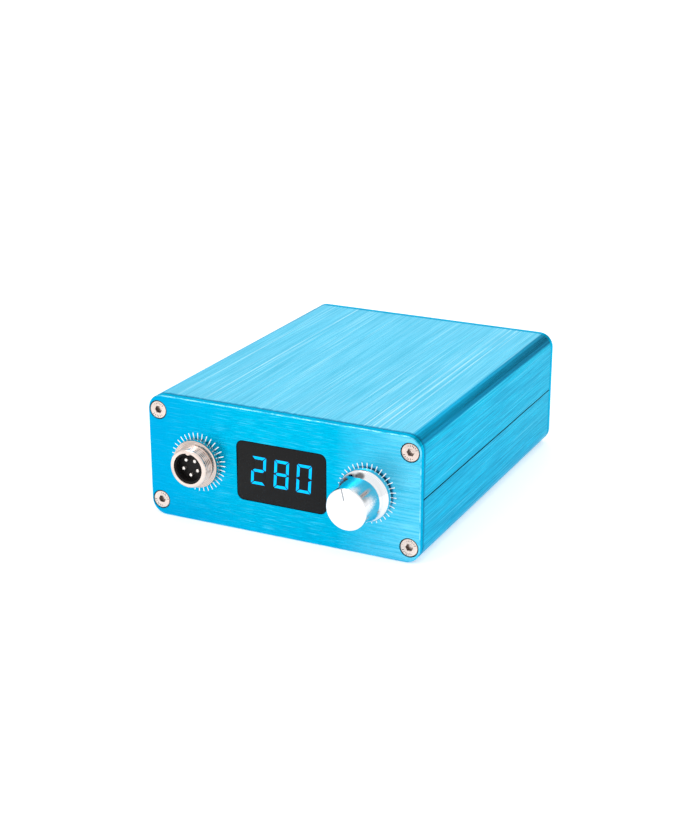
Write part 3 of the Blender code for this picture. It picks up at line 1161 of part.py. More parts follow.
def build_leads():
    blades = [(INLET_X + x, z) for x, z in blade_places()]
    tab_end = INLET_BACK - SLIM_FIT - TAB_LENGTH - FIT
    tab_out = tab_end - 0.0015
    wire_z = BOARD_TOP + BLOCK_HOLE_HEIGHT
    mains_face = MAINS_BLOCK_Y + BLOCK_DEPTH / 2 - 0.003
    mains = block_holes(3, MAINS_BLOCK_X)
    switch_end = SWITCH_BACK - TAB_LENGTH - FIT

    x, z = blades[0]
    over = z + 0.0004
    lead("lead_neutral", [(x, tab_end, z), (x, tab_out, z), (x - 0.0013, tab_out - 0.0024, over),
                          (x - 0.0045, mains_face + 0.0055, over),
                          (mains[1] + 0.002, mains_face + 0.0053, wire_z + 0.0017),
                          (mains[1] + 0.0002, mains_face + 0.0037, wire_z + 0.0003),
                          (mains[1], mains_face + 0.0015, wire_z), (mains[1], mains_face, wire_z)],
         LEAD_RADIUS, BLUE_LEAD)
    x, z = blades[2]
    lead("lead_earth", [(x, tab_end, z), (x, tab_out, z), (x - 0.003, tab_end - 0.0045, z + 0.006),
                        (x - 0.012, tab_end + 0.003, z + 0.008),
                        (mains[0], mains_face + 0.0085, wire_z + 0.002),
                        (mains[0], mains_face + 0.003, wire_z), (mains[0], mains_face, wire_z)],
         LEAD_RADIUS, GREEN_LEAD)
    x, z = blades[1]
    lead("lead_line", [(x, tab_end, z), (x, tab_out, z), (x + 0.004, tab_end - 0.004, z + 0.001),
                       (x + 0.015, tab_end - 0.006, z + 0.010),
                       (SWITCH_X - 0.007, tab_end - 0.003, z + 0.012),
                       (SWITCH_X, switch_end - 0.003, SWITCH_TAB_SPREAD),
                       (SWITCH_X, switch_end, SWITCH_TAB_SPREAD)], LEAD_RADIUS, BROWN)
    low = -SWITCH_TAB_SPREAD
    behind = POWER_BACK + 0.0006
    above = BOARD_TOP + 0.0011
    lead("lead_switched", [(SWITCH_X, switch_end, low), (SWITCH_X - 0.001, switch_end - 0.003, low),
                           (SWITCH_X - 0.010, behind, above + 0.0009), (INLET_X + 0.014, behind, above),
                           (INLET_X, behind, above),
                           (mains[2] + 0.001, mains_face + 0.0065, wire_z), (mains[2], mains_face, wire_z)],
         LEAD_RADIUS, BROWN)

    pins = pin_places()
    pin_end = PIN_BACK + FIT
    heater_face = HEATER_BLOCK_Y - BLOCK_DEPTH / 2 + 0.003
    holes = block_holes(2, HEATER_BLOCK_X)
    for number, (pin, hole) in enumerate(((pins[4], holes[0]), (pins[0], holes[1])), 1):
        x, z = pin
        lead(f"heater_lead_{number}", [(x, pin_end, z), (x, pin_end + 0.002, z),
                                       (hole, heater_face - 0.0055, wire_z), (hole, heater_face, wire_z)],
             LEAD_RADIUS, RED)
    x, z = pins[1]
    stop = CONTROL_LEFT + CONNECTOR_INSET - CONNECTOR[0] / 2 - FIT
    plug_y = CONTROL_BACK + CONNECTOR[1] / 2 + SUNK
    plug_z = BOARD_TOP + CONNECTOR_RISE
    lead("sensor_lead", [(x + 0.0003, pin_end, z), (x + 0.001, pin_end + 0.003, z + 0.001),
                         (stop - 0.0035, plug_y + 0.0015, plug_z - 0.001), (stop - 0.0012, plug_y, plug_z),
                         (stop, plug_y, plug_z)], SENSOR_LEAD_RADIUS, GREY)


build_shells()
build_screws()
build_front_panel()
build_rear_panel()
build_socket()
build_display()
build_control_board()
build_knob()
build_encoder_shaft()
build_encoder()
build_inlet()
build_switch()
build_power_board()
build_fuse()
build_transformer()
build_capacitor("bulk_capacitor", BULK_CAPACITOR_RADIUS, HEADROOM - BULK_CAPACITOR_HEADROOM,
                BULK_CAPACITOR_X, BULK_CAPACITOR_Y)
build_capacitor("output_capacitor", OUTPUT_CAPACITOR_RADIUS, HEADROOM - OUTPUT_CAPACITOR_HEADROOM,
                OUTPUT_CAPACITOR_X, OUTPUT_CAPACITOR_Y)
build_choke()
build_heat_sink()
build_leads()
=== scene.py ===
import json
import math

import bmesh
import bpy
from mathutils import Matrix, Vector


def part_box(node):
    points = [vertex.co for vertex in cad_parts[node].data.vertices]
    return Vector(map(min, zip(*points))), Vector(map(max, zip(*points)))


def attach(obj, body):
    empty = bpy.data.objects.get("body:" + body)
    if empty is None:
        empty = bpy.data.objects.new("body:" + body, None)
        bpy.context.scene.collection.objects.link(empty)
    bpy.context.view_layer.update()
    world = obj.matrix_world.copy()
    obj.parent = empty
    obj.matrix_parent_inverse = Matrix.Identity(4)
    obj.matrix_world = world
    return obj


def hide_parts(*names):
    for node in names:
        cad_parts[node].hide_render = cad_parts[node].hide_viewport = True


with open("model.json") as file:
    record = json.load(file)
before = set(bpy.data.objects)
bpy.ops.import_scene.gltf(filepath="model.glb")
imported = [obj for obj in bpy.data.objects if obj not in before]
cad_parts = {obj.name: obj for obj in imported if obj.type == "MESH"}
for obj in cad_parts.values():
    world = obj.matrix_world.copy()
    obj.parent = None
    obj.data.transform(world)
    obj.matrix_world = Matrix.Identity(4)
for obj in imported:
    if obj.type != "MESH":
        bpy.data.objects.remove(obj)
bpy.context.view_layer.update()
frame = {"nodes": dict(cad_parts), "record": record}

scene = bpy.context.scene
nodes = frame["nodes"]


# Places read from the frame. All lengths are in metres.

def middle(name):
    """The middle of a CAD node's box, as X, Y and Z."""
    low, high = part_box(name)
    return [(low[i] + high[i]) / 2 for i in range(3)]


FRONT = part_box("front_panel")[0].y
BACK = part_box("rear_panel")[1].y
SOCKET_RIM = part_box("socket_shell")[0].y
MID_Z = middle("front_panel")[2]
SOCKET_X = middle("socket_shell")[0]
KNOB_X = middle("knob")[0]
WINDOW_X = middle("display_window")[0]
SWITCH_X = middle("switch_rocker")[0]


# Node trees and materials

class Graph:
    """Adds procedural nodes to the tree of a material or a world."""

    def __init__(self, tree):
        self.nodes, self.links = tree.nodes, tree.links

    def feed(self, socket, value):
        """Sets a socket to a constant, or links another node's output to it."""
        if isinstance(value, bpy.types.NodeSocket):
            self.links.new(value, socket)
        elif socket.type == "RGBA":
            socket.default_value = (*value, 1)
        else:
            socket.default_value = value

    def node(self, kind, values, **settings):
        """A new node, with its settings and the values of its inputs by name or number."""
        made = self.nodes.new(kind)
        for setting, value in settings.items():
            setattr(made, setting, value)
        for key, value in values.items():
            self.feed(made.inputs[key], value)
        return made

    def math(self, operation, *values):
        return self.node("ShaderNodeMath", dict(enumerate(values)), operation=operation).outputs[0]

    def add(self, a, b):
        return self.math("ADD", a, b)

    def times(self, a, b):
        return self.math("MULTIPLY", a, b)

    def absolute(self, value):
        return self.math("ABSOLUTE", value)

    def split(self, vector):
        """The X, Y and Z of a vector."""
        return list(self.node("ShaderNodeSeparateXYZ", {"Vector": vector}).outputs)

    def ramp(self, value, low, high, start=0.3, end=0.7, kind="LINEAR"):
        """Maps a value from start..end, by default the middle part of a noise, to low..high."""
        inputs = {"Value": value, "From Min": start, "From Max": end, "To Min": low, "To Max": high}
        return self.node("ShaderNodeMapRange", inputs, interpolation_type=kind).outputs["Result"]

    def rise(self, value, start, end, most=1.0):
        """A mask that is nothing up to start and full from end on."""
        return self.ramp(value, 0.0, most, start, end)

    def fall(self, value, start, end, most=1.0):
        """A mask that is full up to start and nothing from end on."""
        return self.ramp(value, most, 0.0, start, end)

    def mix(self, factor, a, b):
        inputs = {"Factor": factor, "A": a, "B": b}
        return self.node("ShaderNodeMix", inputs, data_type="RGBA").outputs["Result"]


class Surface(Graph):
    """A Principled material whose detail lies in the object's own metres."""

    def __init__(self, name, colour, roughness, metallic=0.0, ior=1.45, coat=0.0, coat_roughness=0.1):
        self.material = bpy.data.materials.new(name)
        self.material.use_nodes = True
        super().__init__(self.material.node_tree)
        self.shader = self.nodes["Principled BSDF"]
        self.set("Base Color", colour)
        self.set("Roughness", roughness)
        self.set("Metallic", metallic)
        self.set("IOR", ior)
        self.set("Coat Weight", coat)
        self.set("Coat Roughness", coat_roughness)
        self.place = self.nodes.new("ShaderNodeTexCoord").outputs["Object"]

    def set(self, name, value):
        """Sets or links one of the shader's inputs."""
        self.feed(self.shader.inputs[name], value)

    def noise(self, scale, detail=3.0, roughness=0.55):
        """Noise from 0 to 1. Its scale is in cycles per metre, one for all axes or one for each."""
        scale = scale if isinstance(scale, (tuple, list)) else (scale, scale, scale)
        mapping = self.node("ShaderNodeMapping", {"Vector": self.place, "Scale": scale})
        inputs = {"Vector": mapping.outputs["Vector"], "Scale": 1.0, "Detail": detail, "Roughness": roughness}
        return self.node("ShaderNodeTexNoise", inputs).outputs["Fac"]

    def bump(self, height, distance):
        inputs = {"Height": height, "Distance": distance, "Strength": 1.0}
        self.set("Normal", self.node("ShaderNodeBump", inputs).outputs["Normal"])

    def facing(self):
        """How squarely a face looks along Y, from 0 to 1."""
        return self.absolute(self.split(self.nodes.new("ShaderNodeNewGeometry").outputs["Normal"])[1])


# Blue anodised aluminium

# Roughness between the streaks and on them
BRUSHED_ROUGHNESS = (0.40, 0.24)
BRUSHED_DEPTH = 0.00005
SCRATCH_STRENGTH = 0.75

# The dark, the main and the scratched colour of the brushed faces
SHELL_TONES = ((0.0, 0.29, 0.50), (0.01, 0.51, 0.75), (0.12, 0.62, 0.83))
PANEL_TONES = ((0.0, 0.35, 0.60), (0.0, 0.48, 0.73), (0.06, 0.58, 0.82))

# Where the shells' finish and its painted light change: heights first, then lengths from front to back
TOP_FACE = (0.03782, 0.03796)
CORNER = (0.0350, 0.0354)
CORNER_RISE = (0.0358, 0.0376)
SIDES_TO_BACK = (-0.03, 0.05)
SHELL_FRONT = (-0.0524, -0.0516)

# Where the panels' painted shade and painted reflection change, from left to right
PANEL_LEFT = (-0.044, -0.010)
PANEL_RIGHT = (0.018, 0.040)

# Painted sheen: the lighter colours of the shells' top face, for the light it catches
TOP_SHEEN_TONES = ((0.10, 0.50, 0.69), (0.21, 0.65, 0.85), (0.46, 0.80, 0.92))
# Painted shade: the colour the shells' sides darken to towards the back
SIDE_BACK_SHADE_TONE = (0.02, 0.33, 0.49)
# Painted reflection: the darker colours of the shells' rounded top edges, for the dark surroundings they
# mirror
CORNER_REFLECTION_TONES = ((0.0, 0.30, 0.55), (0.0, 0.56, 0.94))
CORNER_DARK_REFLECTION = (0.0, 0.12, 0.24)
DIE_LINE_TONE = (0.66, 0.90, 0.97)
# Painted shade at the shells' front end, next to the front panel
SHELL_END_SHADE_TONE = (0.0, 0.22, 0.42)
# Painted shade in the gap where the shells meet
PARTING_SHADE_TONE = (0.0, 0.05, 0.10)
# Painted shade: the darker colour of the left of the panels' flat front
PANEL_LEFT_SHADE_TONE = (0.0, 0.33, 0.64)
# Painted reflection: the light sheen on the right of the panels' flat front
PANEL_REFLECTION_TONE = (0.17, 0.64, 0.85)
# Edge wear, with a painted highlight, on the panels' chamfers and countersinks
PANEL_EDGE_WEAR_AND_HIGHLIGHT_TONE = (0.30, 0.74, 0.90)

# X and half width of the light lines that the die drew along the top
DIE_LINES = ((-0.0266, 0.00035), (0.0279, 0.0003), (0.0299, 0.0004), (0.0320, 0.0003),
             (-0.0352, 0.0002), (0.0254, 0.0002))


def brushed(name, tones, along, stretch, contrast, finest, drift, coat, edge):
    """Brushed and dyed aluminium: sharp fine scratches over broad streaks, all along one axis.

    stretch is the cycles per metre across and along the brushing, finest the share of the finest
    streaks, drift the strength of the broadest, and edge the tint of the metal at grazing angles.
    Gives the surface and its colour, which is left to be linked.
    """
    dark, main, scratched = tones
    across, lengthwise = stretch
    surface = Surface(name, main, BRUSHED_ROUGHNESS[0], metallic=1.0, coat=coat, coat_roughness=0.3)
    surface.set("Specular Tint", edge)

    def streaks(wide, long, detail, roughness):
        scale = [wide, wide, wide]
        scale["XYZ".index(along)] = long
        return surface.noise(scale, detail, roughness)

    fine = streaks(across, lengthwise, 3.0, 0.75)
    medium = streaks(across / 3, lengthwise / 3, 4.0, 0.85)
    broad = streaks(across / 14, lengthwise / 5, 2.0, 0.5)
    scratch = surface.rise(streaks(across * 1.5, lengthwise * 0.5, 1.0, 0.5), 0.60, 0.70)
    grain = surface.add(surface.times(fine, finest), surface.times(medium, 1 - finest))
    grain = surface.add(grain, surface.ramp(broad, -drift, drift))
    tone = surface.mix(surface.rise(grain, *contrast), dark, main)
    tone = surface.mix(surface.times(scratch, SCRATCH_STRENGTH), tone, scratched)
    patches = surface.ramp(surface.noise(30, 2.0), -0.03, 0.03)
    surface.set("Roughness", surface.add(surface.ramp(grain, *BRUSHED_ROUGHNESS, 0.38, 0.62), patches))
    surface.bump(grain, BRUSHED_DEPTH)
    return surface, tone


def shell_finish():
    """The shells: a paler top with painted sheen and die lines, a painted dark reflection on the rounded top
    edges, and painted shade on the sides towards the back, at the front end and in the gap where the shells
    meet.
    """
    surface, tone = brushed("anodised_shell", SHELL_TONES, "Y", stretch=(2300, 42), contrast=(0.40, 0.60),
                            finest=0.7, drift=0.02, coat=0.12, edge=(0.45, 0.85, 1.0))
    across, along, height = surface.split(surface.place)
    on_top = surface.rise(height, *TOP_FACE)
    fine = surface.noise((2600, 30, 2600), 3.0, 0.75)
    long = surface.noise((800, 11, 800), 4.0, 0.85)
    grain = surface.add(surface.times(fine, 0.6), surface.times(long, 0.4))

    # Painted sheen: the top face is lighter, for the light it catches
    pale = surface.mix(surface.rise(grain, 0.40, 0.58), *TOP_SHEEN_TONES[:2])
    thin = surface.rise(surface.noise((3200, 20, 3200), 1.0), 0.60, 0.70, 0.8)
    pale = surface.mix(thin, pale, TOP_SHEEN_TONES[2])
    # Painted shade: the sides darken towards the back
    sides = surface.mix(surface.rise(along, *SIDES_TO_BACK, 0.3), tone, SIDE_BACK_SHADE_TONE)
    # Painted reflection: the rounded top edges are darker, darkest towards the back and along the dark
    # streaks, for the dark surroundings they mirror
    corner_reflection = surface.mix(surface.rise(height, *CORNER_RISE), *CORNER_REFLECTION_TONES)
    corner_reflection = surface.mix(surface.rise(along, *SIDES_TO_BACK, 0.7), corner_reflection, CORNER_DARK_REFLECTION)
    corner_reflection = surface.mix(surface.fall(grain, 0.38, 0.56, 0.45), corner_reflection, CORNER_DARK_REFLECTION)
    colour = surface.mix(surface.rise(height, *CORNER), sides, corner_reflection)
    colour = surface.mix(on_top, colour, pale)

    lines = 0.0
    for x, half_width in DIE_LINES:
        away = surface.absolute(surface.math("SUBTRACT", across, x))
        lines = surface.math("MAXIMUM", surface.fall(away, 0.0, half_width), lines)
    broken = surface.ramp(surface.noise((60, 45, 60), 3.0), 0.3, 1.0, 0.35, 0.6)
    colour = surface.mix(surface.times(surface.times(lines, broken), on_top), colour, DIE_LINE_TONE)

    # Painted shade: a ragged dark band along the shells' front end, where they meet the front panel
    ragged = surface.add(along, surface.ramp(surface.noise((900, 300, 900), 3.0), -0.0003, 0.0003))
    colour = surface.mix(surface.fall(ragged, *SHELL_FRONT, 0.95), colour, SHELL_END_SHADE_TONE)

    # Painted shade in the gap where the shells meet: on their lap lips behind it, and on a thin band of their
    # faces along it
    off_middle = surface.absolute(surface.math("SUBTRACT", height, MID_Z))
    inside = surface.fall(surface.absolute(across), 0.0435, 0.0438)
    lips = surface.times(inside, surface.fall(off_middle, 0.0009, 0.0012))
    gap_shade = surface.math("MAXIMUM", lips, surface.fall(off_middle, 0.0002, 0.0003, 0.95))
    surface.set("Base Color", surface.mix(gap_shade, colour, PARTING_SHADE_TONE))
    return surface


def panel_finish():
    """The panels: painted shade on the left, a painted reflection on the right, and light edges with wear and
    a painted highlight.
    """
    surface, tone = brushed("anodised_panel", PANEL_TONES, "X", stretch=(3600, 260), contrast=(0.36, 0.64),
                            finest=0.85, drift=0.01, coat=0.0, edge=(0.3, 0.8, 1.0))
    across = surface.split(surface.place)[0]
    facing = surface.facing()
    flat = surface.rise(facing, 0.9, 0.97)
    # Painted shade: the flat front of the panels is darker towards the left
    left = surface.times(surface.fall(across, *PANEL_LEFT, 0.8), flat)
    colour = surface.mix(left, tone, PANEL_LEFT_SHADE_TONE)
    # Painted reflection: a light, streaky sheen on the flat front towards the right
    right = surface.times(surface.rise(across, *PANEL_RIGHT, 0.8), flat)
    reflection_streaks = surface.ramp(surface.noise((60, 1700, 1700), 4.0, 0.75), 0.25, 1.0, 0.38, 0.60)
    colour = surface.mix(surface.times(right, reflection_streaks), colour, PANEL_REFLECTION_TONE)
    # Light chamfers and countersinks: edge wear, with a painted highlight along the edges
    edge = surface.times(surface.rise(facing, 0.45, 0.6), surface.fall(facing, 0.8, 0.95))
    wear_and_highlight = surface.times(edge, surface.ramp(surface.noise(500), 0.15, 0.8, 0.38, 0.62))
    surface.set("Base Color", surface.mix(wear_and_highlight, colour, PANEL_EDGE_WEAR_AND_HIGHLIGHT_TONE))
    return surface


# Other metals, and plastics

NICKEL_TONE = (0.92, 0.85, 0.81)
POLISHED_TONE = (0.93, 0.93, 0.94)

METAL_GRAIN_DEPTH = 0.00001

BARREL_RADIUS = 0.0059
TURNED_RINGS = 15700.0  # in radians per metre of radius


def metal(name, colour, roughness, grain=2500, dulled=0.8):
    """Plated or bare metal with faint handling marks."""
    surface = Surface(name, colour, roughness, metallic=1.0)
    lines = surface.noise(grain, 4.0, 0.7)
    patches = surface.noise(150)
    dull = [c * dulled for c in colour]
    surface.set("Base Color", surface.mix(surface.rise(patches, 0.3, 0.7), colour, dull))
    surface.set("Roughness", surface.add(surface.ramp(lines, roughness * 0.7, roughness * 1.5),
                                         surface.ramp(patches, -0.02, 0.03)))
    surface.bump(lines, METAL_GRAIN_DEPTH)
    return surface


def threaded_nickel():
    """Bright nickel with painted shade in patches in the roots of the socket's thread, and turned rings on
    its flange.
    """
    surface = metal("threaded_nickel", NICKEL_TONE, 0.13)
    place_x, place_y, place_z = surface.split(surface.place)
    x, z = surface.math("SUBTRACT", place_x, SOCKET_X), surface.math("SUBTRACT", place_z, MID_Z)
    radius = surface.math("SQRT", surface.add(surface.times(x, x), surface.times(z, z)))
    # Painted shade: the thread's roots turn near black in patches
    root = surface.fall(radius, BARREL_RADIUS - 0.00024, BARREL_RADIUS - 0.00002)
    outside_bore = surface.rise(radius, 0.0050, 0.0051)
    behind_rim = surface.rise(place_y, SOCKET_RIM + 0.0002, SOCKET_RIM + 0.0004)
    root = surface.times(surface.times(root, outside_bore), behind_rim)
    spots = surface.ramp(surface.noise((420, 60, 420)), 0.35, 1.0, 0.40, 0.58)
    bright = surface.mix(surface.rise(surface.noise(150), 0.3, 0.7), (0.84, 0.73, 0.67), (0.66, 0.55, 0.50))
    colour = surface.mix(surface.times(root, spots), bright, (0.02, 0.012, 0.01))
    flange = surface.rise(radius, BARREL_RADIUS + 0.00003, BARREL_RADIUS + 0.0001)
    turned = surface.ramp(surface.math("SINE", surface.times(radius, TURNED_RINGS)), 0.15, 0.75, -0.3, 0.8)
    surface.set("Base Color", surface.mix(surface.times(flange, turned), colour, (0.30, 0.24, 0.21)))
    return surface


def turned_aluminium():
    """Polished on the knob's face and duller, with fine turned rings, round its sides."""
    surface = metal("polished_aluminium", POLISHED_TONE, 0.08, (300, 9000, 300))
    rings = surface.rise(surface.noise((40, 9000, 40), 3.0, 0.7), 0.35, 0.65)
    sides = surface.mix(rings, (0.66, 0.68, 0.71), (0.80, 0.82, 0.84))
    face = surface.rise(surface.facing(), 0.85, 0.97)
    surface.set("Base Color", surface.mix(face, sides, POLISHED_TONE))
    return surface


def plastic(name, colour, roughness, grain_depth=0.00002, ior=1.45):
    """Moulded plastic with a fine eroded grain."""
    surface = Surface(name, colour, roughness, ior=ior)
    grains = surface.noise(9000, 2.0)
    patches = surface.noise(120)
    lighter = [min(1.0, c * 1.5 + 0.004) for c in colour]
    surface.set("Base Color", surface.mix(surface.rise(patches, 0.3, 0.7), colour, lighter))
    surface.set("Roughness", surface.add(surface.ramp(patches, roughness - 0.06, roughness + 0.06),
                                         surface.ramp(grains, -0.05, 0.05)))
    surface.bump(grains, grain_depth)
    return surface


def lit_segment():
    surface = Surface("lit_segment", (0.0, 0.02, 0.04), 0.5, ior=1.1)
    glow = surface.rise(surface.noise(700, 2.0), 0.3, 0.7)
    surface.set("Emission Color", surface.mix(glow, (0.0, 0.42, 0.95), (0.0, 0.54, 1.0)))
    surface.set("Emission Strength", 1.5)
    return surface


def dark_window():
    surface = Surface("dark_window", (0.006, 0.006, 0.006), 0.25, ior=1.22)
    surface.set("Roughness", surface.ramp(surface.noise(400), 0.2, 0.3))
    tone = surface.mix(surface.noise(90, 2.0), (0.005, 0.005, 0.0055), (0.009, 0.009, 0.0095))
    surface.set("Base Color", tone)
    return surface


BLACK = plastic("black_plastic", (0.016, 0.016, 0.018), 0.42)
INSERT_BLACK = plastic("insert_plastic", (0.006, 0.005, 0.005), 0.5, ior=1.25)
BRASS = metal("tinned_brass", (0.97, 0.91, 0.86), 0.35)
SCREW_METAL = metal("plated_screw", (0.82, 0.69, 0.63), 0.24, dulled=0.72)
STAMPED = metal("stamped_mark", (0.10, 0.08, 0.07), 0.5)
# Dark oxide and painted shade in the screws' recesses, and painted shade at the rims of their heads
SCREW_OXIDE_AND_SHADE = metal("screw_recess_oxide_and_rim_shade", (0.13, 0.10, 0.09), 0.4)
THREADED = threaded_nickel()
POLISHED = turned_aluminium()
WINDOW = dark_window()
LIT = lit_segment()
PRINT = plastic("white_print", (0.86, 0.92, 0.95), 0.5)
POINTER_GREY = plastic("pointer_paint", (0.30, 0.32, 0.35), 0.4)

# The finish of each material slot in the record
FINISHES = {
    "blue_shell": shell_finish(),
    "blue_panel": panel_finish(),
    "nickel": metal("bright_nickel", NICKEL_TONE, 0.13),
    "steel": metal("zinc_steel", (0.82, 0.78, 0.76), 0.28),
    "plated_steel": SCREW_METAL,
    "dark_steel": metal("black_steel", (0.12, 0.12, 0.13), 0.38),
    "polished_aluminium": POLISHED,
    "bare_aluminium": metal("bare_aluminium", (0.78, 0.79, 0.80), 0.32, (3000, 3000, 60)),
    "brass": BRASS,
    "copper": metal("enamelled_copper", (0.66, 0.27, 0.10), 0.28),
    "black_plastic": BLACK,
    "rocker_plastic": BLACK,
    "white_plastic": plastic("white_plastic", (0.74, 0.74, 0.71), 0.45),
    "window": WINDOW,
    "green_board": plastic("green_board", (0.01, 0.13, 0.05), 0.3),
    "ferrite": plastic("grey_ferrite", (0.045, 0.045, 0.05), 0.6, 0.00004),
    "coil_tape": plastic("coil_tape", (0.78, 0.55, 0.05), 0.38),
    "capacitor_sleeve": plastic("capacitor_sleeve", (0.018, 0.022, 0.05), 0.3),
    "fuse_glass": plastic("fuse_glass", (0.72, 0.78, 0.76), 0.1),
    "brown_lead": plastic("brown_lead", (0.18, 0.06, 0.025), 0.45),
    "blue_lead": plastic("blue_lead", (0.03, 0.11, 0.5), 0.45),
    "green_lead": plastic("green_lead", (0.10, 0.42, 0.08), 0.45),
    "red_lead": plastic("red_lead", (0.55, 0.03, 0.02), 0.45),
    "grey_lead": plastic("grey_lead", (0.32, 0.32, 0.33), 0.45),
}

HOUSING_BEVEL = 0.00018


def shade(made, sharp_from):
    """Shades an object smooth, with sharp edges from an angle in degrees."""
    made.data.shade_smooth()
    made.data.set_sharp_from_angle(angle=math.radians(sharp_from))


def dress_frame():
    """Gives every CAD node the finish of its own slot, and softens the edges of the rear housings."""
    for row in frame["record"]["subparts"]:
        node = nodes[row["node"]]
        node.data.materials.clear()
        surface = INSERT_BLACK if row["node"] == "socket_insert" else FINISHES[row["material_slot"]]
        node.data.materials.append(surface.material)
        shade(node, 30)
    for name in ("inlet_housing", "switch_housing"):
        edges = nodes[name].modifiers.new("Edges", "BEVEL")
        edges.width = HOUSING_BEVEL
        edges.segments = 2
        edges.limit_method = "ANGLE"
        edges.angle_limit = math.radians(40)


# Shapes

def mesh_object(name, shape):
    """An object made of a bmesh, with all faces turned outwards."""
    bmesh.ops.recalc_face_normals(shape, faces=shape.faces)
    mesh = bpy.data.meshes.new(name)
    shape.to_mesh(mesh)
    shape.free()
    made = bpy.data.objects.new(name, mesh)
    scene.collection.objects.link(made)
    return made


def piece(name, shape, surface, body, stands_for=(), smooth=30):
    """Makes a piece of a bmesh that is already in place, parents it to the empty of the body it rides on, and
    hides the CAD nodes it stands for.
    """
    made = mesh_object(name, shape)
    made.data.materials.append(surface.material)
    shade(made, smooth)
    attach(made, body)
    if stands_for:
        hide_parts(*stands_for)
    return made


def turn(count):
    """Evenly spaced angles of a full turn."""
    return [2 * math.pi * i / count for i in range(count)]


def ring_points(shape, centre_x, centre_z, radius, y, segments):
    return [shape.verts.new((centre_x + radius * math.cos(angle), y, centre_z + radius * math.sin(angle)))
            for angle in turn(segments)]


def skin(shape, rings, joined=False):
    """Joins rings with as many points each. The two ends get flat caps, or are joined to each other."""
    pairs = list(zip(rings, rings[1:]))
    if joined:
        pairs.append((rings[-1], rings[0]))
    else:
        shape.faces.new(rings[0])
        shape.faces.new(list(reversed(rings[-1])))
    for near, far in pairs:
        for i in range(len(near)):
            j = (i + 1) % len(near)
            shape.faces.new((near[i], near[j], far[j], far[i]))


def lathe(profile, centre_x, centre_z, segments):
    """A turned body round an axis along Y, from its radius and Y at each ring, with flat ends."""
    shape = bmesh.new()
    skin(shape, [ring_points(shape, centre_x, centre_z, r, y, segments) for r, y in profile])
    return shape


def slab(shape, outline, y_front, y_back):
    """Adds a closed plate with an outline in X and Z between two depths."""
    skin(shape, [[shape.verts.new((x, y, z)) for x, z in outline] for y in (y_front, y_back)])


def radial_bar(centre_x, centre_z, angle, inner, outer, half_width, lean=0.0):
    """The outline of a bar that points away from a centre. lean shifts its outer end sideways."""
    out = Vector((math.cos(angle), math.sin(angle)))
    side = Vector((-out.y, out.x))
    corners = (out * inner - side * half_width, out * outer + side * (lean - half_width),
               out * outer + side * (lean + half_width), out * inner + side * half_width)
    return [(centre_x + c.x, centre_z + c.y) for c in corners]


def round_rectangle(width, height, radius, steps, centre_x, centre_z):
    points = []
    for quarter, (sx, sz) in enumerate(((1, 1), (-1, 1), (-1, -1), (1, -1))):
        for i in range(steps + 1):
            angle = math.radians(90 * quarter + 90 * i / steps)
            points.append((centre_x + sx * (width / 2 - radius) + radius * math.cos(angle),
                           centre_z + sz * (height / 2 - radius) + radius * math.sin(angle)))
    return points


def boolean(target, tool, operation):
    """Applies an exact Boolean to an object's mesh and removes the tool."""
    change = target.modifiers.new("Cut", "BOOLEAN")
    change.object = tool
    change.operation = operation
    change.solver = "EXACT"
    view = bpy.context.evaluated_depsgraph_get()
    mesh = bpy.data.meshes.new_from_object(target.evaluated_get(view))
    target.modifiers.remove(change)
    target.data = mesh
    bpy.data.objects.remove(tool, do_unlink=True)


# Printed marks and the lit display

PRINT_FRONT = FRONT - 0.00003
PRINT_BACK = FRONT + 0.00002

TICKS = 36
TICK_INNER, TICK_OUTER = 0.0072, 0.0091
TICK_HALF_WIDTH = 0.00013


def build_ticks(name, centre_x):
    """A full ring of printed scale marks on the front panel."""
    shape = bmesh.new()
    for angle in turn(TICKS):
        bar = radial_bar(centre_x, MID_Z, angle, TICK_INNER, TICK_OUTER, TICK_HALF_WIDTH)
        slab(shape, bar, PRINT_FRONT, PRINT_BACK)
    piece(name, shape, PRINT, "case")


DIGIT_WIDTH = 0.0047
DIGIT_HEIGHT = 0.0087
DIGIT_LIFT = 0.0007
STROKE = 0.00086
SEGMENT_GAP = 0.0002
LEAN = math.tan(math.radians(3.5))

# The shown digits, each with its left side from the window's middle, and their lit segments
DIGITS = (("2", -0.00972), ("8", -0.00225), ("0", 0.00508))
SHOWN = {"2": "abged", "8": "abcdefg", "0": "abcdef"}


def segment_outlines():
    """The seven mitred segments of a digit, with the origin at the middle of its left side."""
    w, h, t, g = DIGIT_WIDTH, DIGIT_HEIGHT / 2, STROKE, SEGMENT_GAP
    top = [(g, h), (w - g, h), (w - t - g, h - t), (t + g, h - t)]
    upper_left = [(0, h - g), (t, h - t - g), (t, t / 2 + g), (0, g)]
    across_middle = [(2.5 * g, 0), (t + g, t / 2), (w - t - g, t / 2),
                     (w - 2.5 * g, 0), (w - t - g, -t / 2), (t + g, -t / 2)]

    def down(outline):
        return [(x, -z) for x, z in outline]

    def right(outline):
        return [(w - x, z) for x, z in outline]

    return {"a": top, "b": right(upper_left), "c": down(right(upper_left)), "d": down(top),
            "e": down(upper_left), "f": upper_left, "g": across_middle}


def build_digits():
    """The lit segments of each digit, and its unlit ones where it has any."""
    for number, (digit, left) in enumerate(DIGITS, 1):
        lit, unlit = bmesh.new(), bmesh.new()
        for name, outline in segment_outlines().items():
            outline = [(left + WINDOW_X + x + LEAN * z, MID_Z + DIGIT_LIFT + z) for x, z in outline]
            slab(lit if name in SHOWN[digit] else unlit, outline, PRINT_FRONT, PRINT_BACK)
        piece(f"digit_{number}_lit", lit, LIT, "case")
        if unlit.faces:
            piece(f"digit_{number}_unlit", unlit, WINDOW, "case")
        else:
            unlit.free()


# Socket

